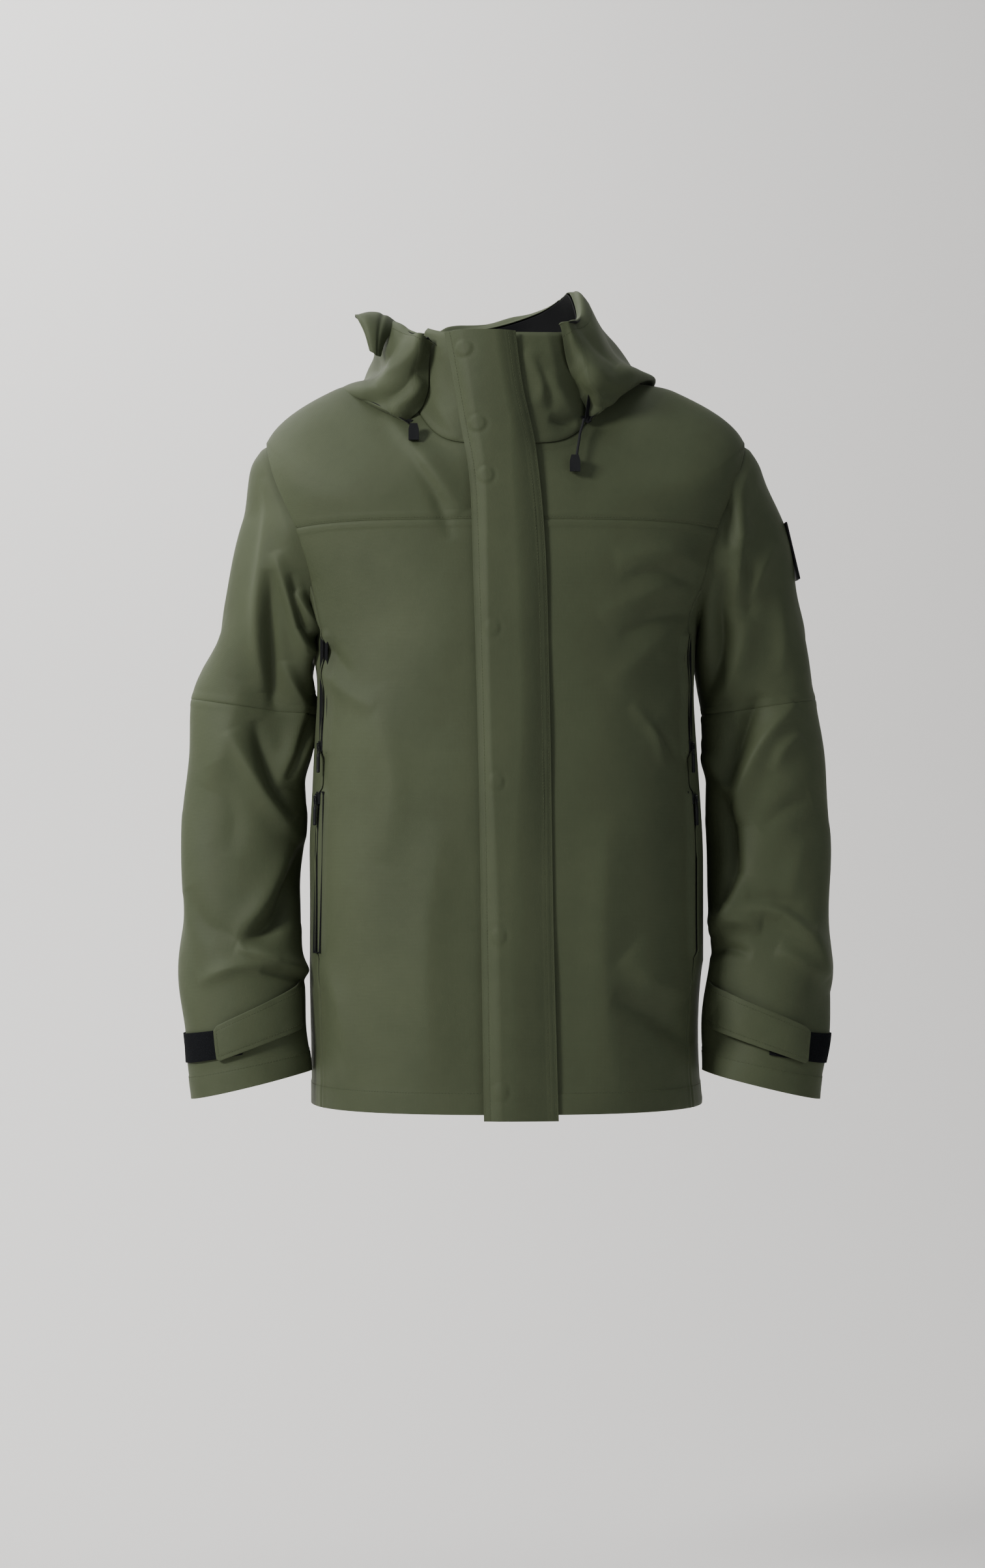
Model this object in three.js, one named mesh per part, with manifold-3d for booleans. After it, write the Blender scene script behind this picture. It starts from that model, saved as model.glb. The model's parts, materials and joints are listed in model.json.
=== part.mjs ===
// Hooded hardshell jacket, zipped up, in the shape it keeps on a standing wearer.
// Millimetres, +Z up, -Y the front, +X the wearer's left. z = 0 is the nape of the neck,
// y = 0 runs through the shoulder points, and the origin is the middle of the neck.

import * as THREE from 'three';
import { mergeVertices } from 'three/addons/utils/BufferGeometryUtils.js';
import Module from 'manifold-3d';

const wasm = await Module();
wasm.setup();

// ---------------------------------------------------------------- driving dimensions
// Body: heights are measured down from the nape.
const BODY_LENGTH = 710;
const BACK_HEM_DROP = 15;
const WAIST_DROP = 470;
const ARMPIT_DROP = 238;
const YOKE_DROP = 139;
const FRONT_NECK_DROP = 65;
const SHOULDER_TIP_DROP = 55;
const COLLAR_RISE = 43;
const HALF_WIDTH = 195;
const HALF_SHOULDER = 238;
const HALF_NECK = 100;
const HALF_COLLAR = 88;
const HEM_FRONT_REACH = 165;
const COLLAR_FRONT_REACH = 113;
const HALF_BACK = 138;
const NECK_BACK_REACH = 68;
const FULLNESS = 0.8;
const WALL = 2;
const SEAM_GAP = 1.2;

// Seams, as angles round the body from the middle of the front.
const FRONT_SIDE_SEAM = THREE.MathUtils.degToRad(66);
const BACK_SIDE_SEAM = THREE.MathUtils.degToRad(118);
const ARMHOLE_HALF_ANGLE = THREE.MathUtils.degToRad(30);

// Sleeves.
const SLEEVE_STANDOFF = 3;
const SLEEVE_BODY_GAP = 5;
const ELBOW_DROP = 318;
const ELBOW_RADIUS = 56;
const FOREARM_RADIUS = 61;
const CUFF_RADIUS = 58;
const SLEEVE_FLATNESS = 0.8;
const CUFF_DROP = 690;
const CUFF_FORWARD = 48;
const CUFF_SLANT = 14;

// Cuff tab and the loop strip that it closes on.
const TAB_HEIGHT_FREE = 34;
const TAB_HEIGHT_SEWN = 49;
const TAB_ABOVE_CUFF = 48;
const TAB_RISE = 28;
const TAB_LIFT = 4;
const STRIP_HEIGHT = 28;
const STRIP_THICKNESS = 1.2;
const TRIM_GAP = 0.6;

// Main zip and storm flap: the placket runs a little aslant, nearer the wearer's right at the top.
const ZIP_X_TOP = -8;
const ZIP_X_HEM = 18;
const FLAP_FOLD_X_TOP = 8;
const FLAP_FOLD_X_HEM = 49;
const FLAP_WIDTH_TOP = 66;
const FLAP_WIDTH_NECK = 50;
const FLAP_WIDTH_HEM = 70;
const FLAP_OVERHANG = 5;
const FLAP_EDGE_LIFT = 6;
const FLAP_MIDDLE_LIFT = 12.5;
const SNAP_COUNT = 7;
const SNAP_DIAMETER = 14;
const SNAP_FROM_EDGE = 15;
const SNAP_PITCH = 147.5;
const FIRST_BODY_SNAP_DROP = 98;
const COLLAR_SNAP_RISE = 25;
const NECK_SNAP_DROP = 48;

// Zips in two gauges of one design: coil, tape and slider all follow the coil's width.
const MAIN_COIL_WIDTH = 6;
const SMALL_COIL_WIDTH = 5;
const TAPE_SIDE = 6;
const TAPE_THICKNESS = 0.8;
const COIL_HEIGHT = 1.6;
const SLIDER_CLEARANCE = 0.4;
const SLIDER_PLATE = 1.2;
const PULLER_THICKNESS = 1.2;
const PULLER_LENGTH = 26;
const MAIN_PULLER_LENGTH = 30;
const HAND_ZIP_TOP_DROP = 402;
const HAND_ZIP_LENGTH = 158;
const PIT_ZIP_TOP_DROP = 247;
const PIT_ZIP_LENGTH = 118;
const MAIN_ZIP_TOP_MARGIN = 6;
const ZIP_LIFT = 2.4;
const MAIN_ZIP_LIFT = 0.8;

// Hood, lowered round the neck.
const HOOD_SIDE_REACH = 156;
const HOOD_RIM_HEIGHT = 96;
const HOOD_BACK_REACH = 172;
const HOOD_BACK_DROP = 82;
const HOOD_SEAM = THREE.MathUtils.degToRad(122);
const BRIM_WIDTH = 42;
const BRIM_LENGTH = 96;

// Cords, toggles, badge, hanging loop, pocket bags.
const CORD_DIAMETER = 2.5;
const TOGGLE_WIDTH = 10;
const TOGGLE_HEIGHT = 16;
const TOGGLE_DEPTH = 6;
const BADGE_HEIGHT = 58;
const BADGE_WIDTH = 40;
const BADGE_THICKNESS = 2;
const BADGE_DROP = 163;
const BADGE_CLEARANCE = 2;
const LOOP_LENGTH = 60;
const LOOP_WIDTH = 6;
const LOOP_HEIGHT = 8;
const POCKET_DEPTH = 150;
const POCKET_INSET = 7;

const SHELL_GREEN = { color: 0x424a33, roughness: 0.8, metalness: 0 };
const LINING_BLACK = { color: 0x15161a, roughness: 0.9, metalness: 0 };
const TRIM_BLACK = { color: 0x17181b, roughness: 0.5, metalness: 0 };
const SNAP_METAL = { color: 0x3c3d3f, roughness: 0.4, metalness: 0.8 };

// ---------------------------------------------------------------- mesh helpers
const STEP = 1e-3;

/** Vertices merged, faces turned outwards whichever way the shape was mapped. */
function closed(geometry) {
  geometry.deleteAttribute('normal');
  geometry.deleteAttribute('uv');
  const merged = mergeVertices(geometry, 1e-4);
  const position = merged.getAttribute('position');
  const index = merged.getIndex();
  const corners = [new THREE.Vector3(), new THREE.Vector3(), new THREE.Vector3()];
  let volume = 0;
  for (let i = 0; i < index.count; i += 3) {
    corners.forEach((corner, k) => corner.fromBufferAttribute(position, index.getX(i + k)));
    volume += corners[0].dot(corners[1].clone().cross(corners[2]));
  }
  if (volume < 0) {
    for (let i = 0; i < index.count; i += 3) {
      const swap = index.getX(i + 1);
      index.setX(i + 1, index.getX(i + 2));
      index.setX(i + 2, swap);
    }
  }
  merged.computeVertexNormals();
  return merged;
}

/** A box of cells bent into a panel: u and v run along it, w from its inner to its outer face. */
function bentPanel(columns, rows, place) {
  const geometry = new THREE.BoxGeometry(1, 1, 1, columns, rows, 1);
  const position = geometry.getAttribute('position');
  const cell = new THREE.Vector3();
  for (let i = 0; i < position.count; i += 1) {
    cell.fromBufferAttribute(position, i).addScalar(0.5);
    const point = place(cell.x, cell.y, cell.z);
    position.setXYZ(i, point.x, point.y, point.z);
  }
  return closed(geometry);
}

/** A turned ring of cells bent into a tube: u runs round it, v along it, w through the wall. */
function bentTube(around, rows, place) {
  const profile = [];
  for (let k = 0; k <= rows; k += 1) profile.push(new THREE.Vector2(2, k / rows));
  for (let k = rows; k >= 0; k -= 1) profile.push(new THREE.Vector2(1, k / rows));
  profile.push(profile[0].clone());
  const geometry = new THREE.LatheGeometry(profile, around);
  const position = geometry.getAttribute('position');
  for (let i = 0; i < position.count; i += 1) {
    const radius = Math.hypot(position.getX(i), position.getZ(i));
    const turn = Math.atan2(position.getX(i), position.getZ(i)) / (2 * Math.PI);
    const point = place((turn + 1) % 1, position.getY(i), radius - 1);
    position.setXYZ(i, point.x, point.y, point.z);
  }
  return closed(geometry);
}

/** The wall behind a surface: w = 1 on the surface, w = 0 a wall's thickness inside it. */
function walled(surface, wall, inside) {
  return (u, v, w) => {
    const point = surface(u, v);
    const along = surface(u + STEP, v).sub(surface(u - STEP, v));
    const across = surface(u, v + STEP).sub(surface(u, v - STEP));
    const normal = along.cross(across).normalize();
    if (normal.dot(point.clone().sub(inside(point))) < 0) normal.negate();
    return point.addScaledVector(normal, (w - 1) * wall);
  };
}

/** A solid for joining and cutting. */
function solid(geometry) {
  const mesh = closed(geometry.index ? geometry : mergeVertices(geometry, 1e-4));
  return new wasm.Manifold(new wasm.Mesh({
    numProp: 3,
    vertProperties: new Float32Array(mesh.getAttribute('position').array),
    triVerts: new Uint32Array(mesh.getIndex().array),
  }));
}

/** A solid back as a geometry. */
function geometryOf(manifold) {
  const mesh = manifold.getMesh();
  const geometry = new THREE.BufferGeometry();
  geometry.setAttribute('position', new THREE.BufferAttribute(new Float32Array(mesh.vertProperties), 3));
  geometry.setIndex(new THREE.BufferAttribute(new Uint32Array(mesh.triVerts), 1));
  geometry.computeVertexNormals();
  return geometry;
}

function named(name, geometry, finish) {
  const mesh = new THREE.Mesh(geometry, new THREE.MeshStandardMaterial(finish));
  mesh.name = name;
  return mesh;
}

// ---------------------------------------------------------------- the body's surface
// Three profile curves, one down the middle of the front, one down the side and one down the
// back, with a station at each level. A point at an angle round the body mixes the three.
const HEM = 0;
const YOKE = 3;
const TIP = 4;
const NECK = 6;
const COLLAR_TOP = 7;

const frontSlope = (HEM_FRONT_REACH - COLLAR_FRONT_REACH) / (BODY_LENGTH + COLLAR_RISE);
const frontReach = (z) => -(COLLAR_FRONT_REACH + (COLLAR_RISE - z) * frontSlope);
const frontHeights = [-BODY_LENGTH, -WAIST_DROP, -ARMPIT_DROP, -YOKE_DROP,
  -(2 * YOKE_DROP + FRONT_NECK_DROP) / 3, -(YOKE_DROP + 2 * FRONT_NECK_DROP) / 3,
  -FRONT_NECK_DROP, COLLAR_RISE];
const frontCurve = new THREE.CatmullRomCurve3(
  frontHeights.map((z) => new THREE.Vector3(0, frontReach(z), z)),
);
const sideCurve = new THREE.CatmullRomCurve3([
  new THREE.Vector3(HALF_WIDTH - 1, 0, -BODY_LENGTH),
  new THREE.Vector3(HALF_WIDTH + 1, 0, -WAIST_DROP),
  new THREE.Vector3(HALF_WIDTH - 5, 0, -ARMPIT_DROP),
  new THREE.Vector3(HALF_SHOULDER - 6, 0, -YOKE_DROP - 10),
  new THREE.Vector3(HALF_SHOULDER, 0, -SHOULDER_TIP_DROP),
  new THREE.Vector3((HALF_SHOULDER + HALF_NECK) / 2, -6, -4),
  new THREE.Vector3(HALF_NECK, -12, 12),
  new THREE.Vector3(HALF_COLLAR, -8, COLLAR_RISE + 17),
]);
const backCurve = new THREE.CatmullRomCurve3([
  new THREE.Vector3(0, HALF_BACK, -BODY_LENGTH - BACK_HEM_DROP),
  new THREE.Vector3(0, HALF_BACK - 8, -WAIST_DROP),
  new THREE.Vector3(0, HALF_BACK + 2, -ARMPIT_DROP),
  new THREE.Vector3(0, HALF_BACK + 2, -YOKE_DROP),
  new THREE.Vector3(0, HALF_BACK - 8, -YOKE_DROP / 2 - 10),
  new THREE.Vector3(0, (HALF_BACK + NECK_BACK_REACH) / 2 + 4, -28),
  new THREE.Vector3(0, NECK_BACK_REACH, 0),
  new THREE.Vector3(0, NECK_BACK_REACH + 4, COLLAR_RISE + 27),
]);

/** The body's outer surface at an angle from the middle front and a level from hem to collar. */
function bodyPoint(angle, level) {
  const k = THREE.MathUtils.clamp(level / COLLAR_TOP, 0, 1);
  const side = sideCurve.getPoint(k);
  const end = (Math.cos(angle) > 0 ? frontCurve : backCurve).getPoint(k);
  const across = Math.abs(Math.sin(angle)) ** FULLNESS;
  const along = Math.abs(Math.cos(angle)) ** FULLNESS;
  const mix = Math.sin(angle) ** 4;
  return new THREE.Vector3(
    Math.sign(Math.sin(angle)) * side.x * across,
    side.y + (end.y - side.y) * along,
    side.z * mix + end.z * (1 - mix),
  );
}

/** The angle at which the front surface stands at x, at a level. */
function angleAt(x, level) {
  const side = sideCurve.getPoint(THREE.MathUtils.clamp(level / COLLAR_TOP, 0, 1));
  return Math.sign(x) * Math.asin(Math.min(1, Math.abs(x) / side.x) ** (1 / FULLNESS));
}

/** The level at which the surface at angleOf(level) reaches a height. */
function levelAt(angleOf, z) {
  let low = HEM;
  let high = COLLAR_TOP;
  for (let i = 0; i < 40; i += 1) {
    const middle = (low + high) / 2;
    if (bodyPoint(angleOf(middle), middle).z < z) low = middle;
    else high = middle;
  }
  return (low + high) / 2;
}

const bodyInside = (point) => new THREE.Vector3(0, 0, Math.min(point.z, -SHOULDER_TIP_DROP) - 60);

/** Outward normal of the body's surface. */
function bodyNormal(angle, level) {
  const point = bodyPoint(angle, level);
  const along = bodyPoint(angle + STEP, level).sub(bodyPoint(angle - STEP, level));
  const across = bodyPoint(angle, level + STEP).sub(bodyPoint(angle, level - STEP));
  const normal = along.cross(across).normalize();
  if (normal.dot(point.sub(bodyInside(point))) < 0) normal.negate();
  return normal;
}

/** A point and its normal on the front, at x and z. */
function onFront(x, z) {
  const level = levelAt((l) => angleAt(x, l), z);
  const angle = angleAt(x, level);
  return { point: bodyPoint(angle, level), normal: bodyNormal(angle, level) };
}

const lerp = THREE.MathUtils.lerp;
const slantedX = (top, hem) => (z) => lerp(hem, top, (z + BODY_LENGTH) / (BODY_LENGTH + COLLAR_RISE));
const zipX = slantedX(ZIP_X_TOP, ZIP_X_HEM);
const flapFoldX = slantedX(FLAP_FOLD_X_TOP, FLAP_FOLD_X_HEM);
const heightOf = (level) => frontCurve.getPoint(THREE.MathUtils.clamp(level / COLLAR_TOP, 0, 1)).z;
const seamAngle = SEAM_GAP / 2 / HALF_WIDTH;
const seamLevel = SEAM_GAP / 2 / 60;

/** Half the armhole's angle at a level, nothing above and below it. */
function armholeAngle(level) {
  const offset = level - YOKE;
  return Math.abs(offset) >= 1 ? 0 : ARMHOLE_HALF_ANGLE * Math.sqrt(1 - offset * offset);
}

// ---------------------------------------------------------------- body panels
const ZIP_HALF = MAIN_COIL_WIDTH / 2 + 2;

function frontEdge(side, level) {
  return angleAt(zipX(heightOf(level)) + side * ZIP_HALF, level);
}

function frontPanel(side) {
  const surface = (u, v) => {
    const level = lerp(HEM, YOKE - seamLevel, v);
    const outer = Math.min(FRONT_SIDE_SEAM, Math.PI / 2 - armholeAngle(level)) - seamAngle;
    return bodyPoint(lerp(frontEdge(side, level), side * outer, u), level);
  };
  return bentPanel(7, 12, walled(surface, WALL, bodyInside));
}

function frontYoke(side) {
  const surface = (u, v) => {
    const level = lerp(YOKE + seamLevel, NECK - seamLevel, v);
    const outer = Math.PI / 2 - armholeAngle(level) - seamAngle;
    return bodyPoint(lerp(frontEdge(side, level), side * outer, u), level);
  };
  return bentPanel(7, 9, walled(surface, WALL, bodyInside));
}

function sidePanel(side) {
  const surface = (u, v) => {
    const angle = lerp(FRONT_SIDE_SEAM + seamAngle, BACK_SIDE_SEAM - seamAngle, u);
    const offset = (angle - Math.PI / 2) / ARMHOLE_HALF_ANGLE;
    const top = YOKE - Math.sqrt(Math.max(0, 1 - offset * offset)) - seamLevel;
    return bodyPoint(side * angle, lerp(HEM, top, v));
  };
  return bentPanel(6, 9, walled(surface, WALL, bodyInside));
}

function backSpan(level, u) {
  const start = Math.max(level < YOKE ? BACK_SIDE_SEAM : 0, Math.PI / 2 + armholeAngle(level)) + seamAngle;
  return lerp(start, 2 * Math.PI - start, u);
}

function backPiece(bottom, top, rows) {
  const surface = (u, v) => {
    const level = lerp(bottom, top, v);
    return bodyPoint(backSpan(level, u), level);
  };
  return bentPanel(12, rows, walled(surface, WALL, bodyInside));
}

const COLLAR_SIDE_X_NECK = 87;
const COLLAR_SIDE_X_TOP = 60;

function collarPanel(side) {
  const surface = (u, v) => {
    const level = lerp(NECK + seamLevel, COLLAR_TOP, v);
    const outer = angleAt(side * lerp(COLLAR_SIDE_X_NECK, COLLAR_SIDE_X_TOP, v), level);
    return bodyPoint(lerp(frontEdge(side, level), outer, u), level);
  };
  return bentPanel(6, 4, walled(surface, WALL, bodyInside));
}

function pocketBag(side) {
  const surface = (u, v) => {
    const seam = FRONT_SIDE_SEAM - 4 * seamAngle;
    const drop = lerp(HAND_ZIP_TOP_DROP + HAND_ZIP_LENGTH + 40, HAND_ZIP_TOP_DROP - 10, v);
    const outerAngle = () => side * seam;
    const level = levelAt(outerAngle, -drop);
    const innerAngle = seam - POCKET_DEPTH / HALF_WIDTH;
    const angle = side * lerp(innerAngle, seam, u);
    return bodyPoint(angle, level).addScaledVector(bodyNormal(angle, level), -POCKET_INSET);
  };
  return bentPanel(4, 3, walled(surface, WALL / 2, bodyInside));
}

// ---------------------------------------------------------------- sleeves
const elbowCentreX = HALF_WIDTH + SLEEVE_BODY_GAP + ELBOW_RADIUS;
const forearmCentreX = HALF_WIDTH + SLEEVE_BODY_GAP + FOREARM_RADIUS;
const cuffCentreX = forearmCentreX - 10;

/** The armhole's seam, and the sleeve's top edge a little outside it. turn 0 is the shoulder point. */
function armholePoint(turn) {
  const angle = Math.PI / 2 - ARMHOLE_HALF_ANGLE * Math.sin(turn);
  const point = bodyPoint(angle, YOKE + Math.cos(turn));
  point.x += SLEEVE_STANDOFF;
  return point;
}

function sleeveRing(turn, centre, radius, slant) {
  return new THREE.Vector3(
    centre.x + radius * Math.cos(turn),
    centre.y - radius * SLEEVE_FLATNESS * Math.sin(turn),
    centre.z - slant * Math.cos(turn),
  );
}

const elbowCentre = new THREE.Vector3(elbowCentreX, 4, -ELBOW_DROP);
const elbowPoint = (turn) => sleeveRing(turn, elbowCentre, ELBOW_RADIUS, -8);

/** Upper sleeve: each line of the cloth is one curve from the armhole to the elbow seam. */
function upperSleevePoint(turn, v) {
  const start = armholePoint(turn);
  const end = elbowPoint(turn);
  const length = start.distanceTo(end);
  const outwards = new THREE.Vector3(0.3 + 0.25 * Math.cos(turn), 0, -0.85).multiplyScalar(length * 0.3);
  const upwards = new THREE.Vector3(-0.08, 0, 0.33).multiplyScalar(length);
  const line = new THREE.CubicBezierCurve3(
    start, start.clone().add(outwards), end.clone().add(upwards), end,
  );
  return line.getPoint(THREE.MathUtils.clamp(v, 0, 1));
}

/** Lower sleeve: an oval tube along a line bent forwards to the cuff. */
const lowerLine = new THREE.CatmullRomCurve3([
  new THREE.Vector3(elbowCentreX, 4, -ELBOW_DROP),
  new THREE.Vector3(forearmCentreX, -8, -lerp(ELBOW_DROP, CUFF_DROP, 0.35)),
  new THREE.Vector3(forearmCentreX, -30, -lerp(ELBOW_DROP, CUFF_DROP, 0.68)),
  new THREE.Vector3(cuffCentreX, -CUFF_FORWARD, -CUFF_DROP),
]);

const sleeveRadii = new THREE.CatmullRomCurve3([
  new THREE.Vector3(ELBOW_RADIUS, -8, 0),
  new THREE.Vector3(FOREARM_RADIUS - 1, -2, 0),
  new THREE.Vector3(FOREARM_RADIUS, 5, 0),
  new THREE.Vector3(CUFF_RADIUS, CUFF_SLANT, 0),
]);

function lowerSleevePoint(turn, v) {
  const k = THREE.MathUtils.clamp(v, 0, 1);
  const shape = sleeveRadii.getPoint(k);
  return sleeveRing(turn, lowerLine.getPoint(k), shape.x, shape.y);
}

/** A point of the lower sleeve at a height measured at the front of the sleeve, pushed outwards. */
function onCuff(turn, height, lift) {
  const v = (-height - ELBOW_DROP) / (CUFF_DROP - ELBOW_DROP);
  const point = lowerSleevePoint(turn, v);
  const centre = lowerLine.getPoint(THREE.MathUtils.clamp(v, 0, 1));
  const shape = sleeveRadii.getPoint(THREE.MathUtils.clamp(v, 0, 1));
  const away = new THREE.Vector3(
    Math.cos(turn) / shape.x,
    -Math.sin(turn) / (shape.x * SLEEVE_FLATNESS),
    0,
  ).normalize();
  point.z = centre.z - shape.y * Math.cos(turn);
  return point.addScaledVector(away, lift);
}

const upperSurface = (u, v) => upperSleevePoint(2 * Math.PI * u, v);
const lowerStart = SEAM_GAP / (CUFF_DROP - ELBOW_DROP);
const lowerSurface = (u, v) => lowerSleevePoint(2 * Math.PI * u, lerp(lowerStart, 1, v));
const upperInside = (point) => new THREE.Vector3(
  lerp(elbowCentreX, HALF_SHOULDER - 30, THREE.MathUtils.clamp((point.z + ELBOW_DROP) / 220, 0, 1)),
  0,
  point.z - 20,
);
const lowerInside = (point) => new THREE.Vector3(
  elbowCentreX,
  -CUFF_FORWARD * THREE.MathUtils.clamp((-point.z - ELBOW_DROP) / (CUFF_DROP - ELBOW_DROP), 0, 1),
  point.z,
);

const TAB_TURN_FREE = THREE.MathUtils.degToRad(50);
const TAB_TURN_SEWN = THREE.MathUtils.degToRad(160);
const STRIP_TURN_OUTER = THREE.MathUtils.degToRad(-20);
const STRIP_TURN_INNER = THREE.MathUtils.degToRad(88);
const tabMiddle = (u) => -CUFF_DROP + TAB_ABOVE_CUFF + TAB_RISE * u;

function cuffTab() {
  const place = (u, v, w) => {
    const turn = lerp(TAB_TURN_FREE, TAB_TURN_SEWN, u);
    const height = tabMiddle(u) + (v - 0.5) * lerp(TAB_HEIGHT_FREE, TAB_HEIGHT_SEWN, u);
    return onCuff(turn, height, TAB_LIFT + w * WALL);
  };
  return bentPanel(7, 3, place);
}

function cuffStrip() {
  const place = (u, v, w) => {
    const turn = lerp(STRIP_TURN_OUTER, STRIP_TURN_INNER, u);
    const height = tabMiddle(0) + (v - 0.5) * STRIP_HEIGHT;
    return onCuff(turn, height, 2 * TRIM_GAP + w * STRIP_THICKNESS);
  };
  return bentPanel(8, 2, place);
}

// ---------------------------------------------------------------- storm flap and snaps
/** How far the flap's free edge lies from its fold, by height. */
const flapWidth = new THREE.CatmullRomCurve3([
  new THREE.Vector3(FLAP_WIDTH_HEM, 0, -BODY_LENGTH - FLAP_OVERHANG),
  new THREE.Vector3(lerp(FLAP_WIDTH_NECK, FLAP_WIDTH_HEM, 0.7), 0, -WAIST_DROP),
  new THREE.Vector3(FLAP_WIDTH_NECK + 3, 0, -ARMPIT_DROP),
  new THREE.Vector3(FLAP_WIDTH_NECK, 0, -YOKE_DROP),
  new THREE.Vector3(FLAP_WIDTH_NECK + 2, 0, -FRONT_NECK_DROP),
  new THREE.Vector3(FLAP_WIDTH_TOP, 0, COLLAR_RISE),
]);

function flapWidthAt(z) {
  const points = flapWidth.points;
  let k = 0;
  while (k < points.length - 2 && z > points[k + 1].z) k += 1;
  const share = (z - points[k].z) / (points[k + 1].z - points[k].z);
  return flapWidth.getPoint(THREE.MathUtils.clamp((k + share) / (points.length - 1), 0, 1)).x;
}

/** A point over the front: across 0 is the flap's fold, 1 its free edge, at a lift off the body. */
function overFront(across, z, lift) {
  const x = flapFoldX(z) - across * flapWidthAt(z);
  const clamped = Math.max(z, -BODY_LENGTH);
  const place = onFront(x, clamped);
  const point = place.point.addScaledVector(place.normal, lift);
  point.z += z - clamped;
  return point;
}

function stormFlap() {
  const place = (u, v, w) => {
    const z = lerp(-BODY_LENGTH - FLAP_OVERHANG, COLLAR_RISE - 1, v);
    const lift = lerp(FLAP_EDGE_LIFT, FLAP_MIDDLE_LIFT, Math.sin(Math.PI * u) ** 0.7);
    return overFront(u, z, lift + w * WALL);
  };
  return bentPanel(6, 20, place);
}

function snapHeight(number) {
  if (number === 0) return COLLAR_SNAP_RISE;
  if (number === 1) return -NECK_SNAP_DROP;
  return -FIRST_BODY_SNAP_DROP - (number - 2) * SNAP_PITCH;
}

/** A snap half: a round disc with a rounded rim, turned to face off the body. */
function snapHalf(number, lift, thickness, diameter) {
  const z = snapHeight(number);
  const x = flapFoldX(z) - flapWidthAt(z) + SNAP_FROM_EDGE;
  const { point, normal } = onFront(x, z);
  const radius = diameter / 2;
  const profile = [
    new THREE.Vector2(0, 0),
    new THREE.Vector2(radius, 0),
    new THREE.Vector2(radius, thickness * 0.5),
    new THREE.Vector2(radius * 0.8, thickness),
    new THREE.Vector2(0, thickness),
  ];
  const disc = new THREE.LatheGeometry(profile, 16);
  const geometry = closed(disc);
  geometry.applyQuaternion(new THREE.Quaternion().setFromUnitVectors(new THREE.Vector3(0, 1, 0), normal));
  const seat = point.addScaledVector(normal, lift);
  geometry.translate(seat.x, seat.y, seat.z);
  return geometry;
}

// ---------------------------------------------------------------- zips
/** Tape with its coil standing up along the middle, along +Z, facing -Y. */
function zipTape(coilWidth, length) {
  const half = coilWidth / 2;
  const section = new THREE.Shape([
    new THREE.Vector2(-half - TAPE_SIDE, 0),
    new THREE.Vector2(half + TAPE_SIDE, 0),
    new THREE.Vector2(half + TAPE_SIDE, TAPE_THICKNESS),
    new THREE.Vector2(half, TAPE_THICKNESS),
    new THREE.Vector2(half, TAPE_THICKNESS + COIL_HEIGHT),
    new THREE.Vector2(-half, TAPE_THICKNESS + COIL_HEIGHT),
    new THREE.Vector2(-half, TAPE_THICKNESS),
    new THREE.Vector2(-half - TAPE_SIDE, TAPE_THICKNESS),
  ]);
  const geometry = new THREE.ExtrudeGeometry(section, { depth: length, bevelEnabled: false });
  geometry.applyMatrix4(new THREE.Matrix4().makeBasis(
    new THREE.Vector3(1, 0, 0), new THREE.Vector3(0, -1, 0), new THREE.Vector3(0, 0, -1),
  ));
  return closed(geometry);
}

const sliderLength = (coilWidth) => coilWidth * 2.1;
const crownBarY = (coilWidth) => -(TAPE_THICKNESS + COIL_HEIGHT + SLIDER_CLEARANCE + SLIDER_PLATE + 0.3 * coilWidth);

/** Slider: a channel over the coil with a crown, a loop that the puller's bar hangs in. */
function zipSlider(coilWidth) {
  const inner = coilWidth / 2 + SLIDER_CLEARANCE;
  const outer = inner + SLIDER_PLATE;
  const floor = TAPE_THICKNESS + SLIDER_CLEARANCE;
  const roof = TAPE_THICKNESS + COIL_HEIGHT + SLIDER_CLEARANCE;
  const length = sliderLength(coilWidth);
  const channel = new THREE.Shape([
    new THREE.Vector2(-outer, floor),
    new THREE.Vector2(-inner, floor),
    new THREE.Vector2(-inner, roof),
    new THREE.Vector2(inner, roof),
    new THREE.Vector2(inner, floor),
    new THREE.Vector2(outer, floor),
    new THREE.Vector2(outer, roof + SLIDER_PLATE),
    new THREE.Vector2(-outer, roof + SLIDER_PLATE),
  ]);
  const body = new THREE.ExtrudeGeometry(channel, { depth: length, bevelEnabled: false });
  body.applyMatrix4(new THREE.Matrix4().makeBasis(
    new THREE.Vector3(1, 0, 0), new THREE.Vector3(0, -1, 0), new THREE.Vector3(0, 0, -1),
  ));
  body.translate(0, 0, length / 2);
  const reach = 0.62 * coilWidth;
  const half = 0.8 * coilWidth;
  const arch = new THREE.Shape();
  arch.moveTo(-half, -0.3);
  arch.lineTo(half, -0.3);
  arch.lineTo(half * 0.75, reach);
  arch.lineTo(-half * 0.75, reach);
  const eye = new THREE.Path();
  const eyeHalf = 0.24 * coilWidth;
  eye.moveTo(-eyeHalf * 1.6, 0.3 * coilWidth - eyeHalf * 0.75);
  eye.lineTo(-eyeHalf * 1.6, 0.3 * coilWidth + eyeHalf * 0.75);
  eye.lineTo(eyeHalf * 1.6, 0.3 * coilWidth + eyeHalf * 0.75);
  eye.lineTo(eyeHalf * 1.6, 0.3 * coilWidth - eyeHalf * 0.75);
  arch.holes.push(eye);
  const crownWidth = 0.3 * coilWidth;
  const crown = new THREE.ExtrudeGeometry(arch, { depth: crownWidth, bevelEnabled: false });
  crown.applyMatrix4(new THREE.Matrix4().makeBasis(
    new THREE.Vector3(0, 0, 1), new THREE.Vector3(0, -1, 0), new THREE.Vector3(1, 0, 0),
  ));
  crown.translate(-crownWidth / 2, -(roof + SLIDER_PLATE), 0);
  return geometryOf(solid(body).add(solid(crown)));
}

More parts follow.
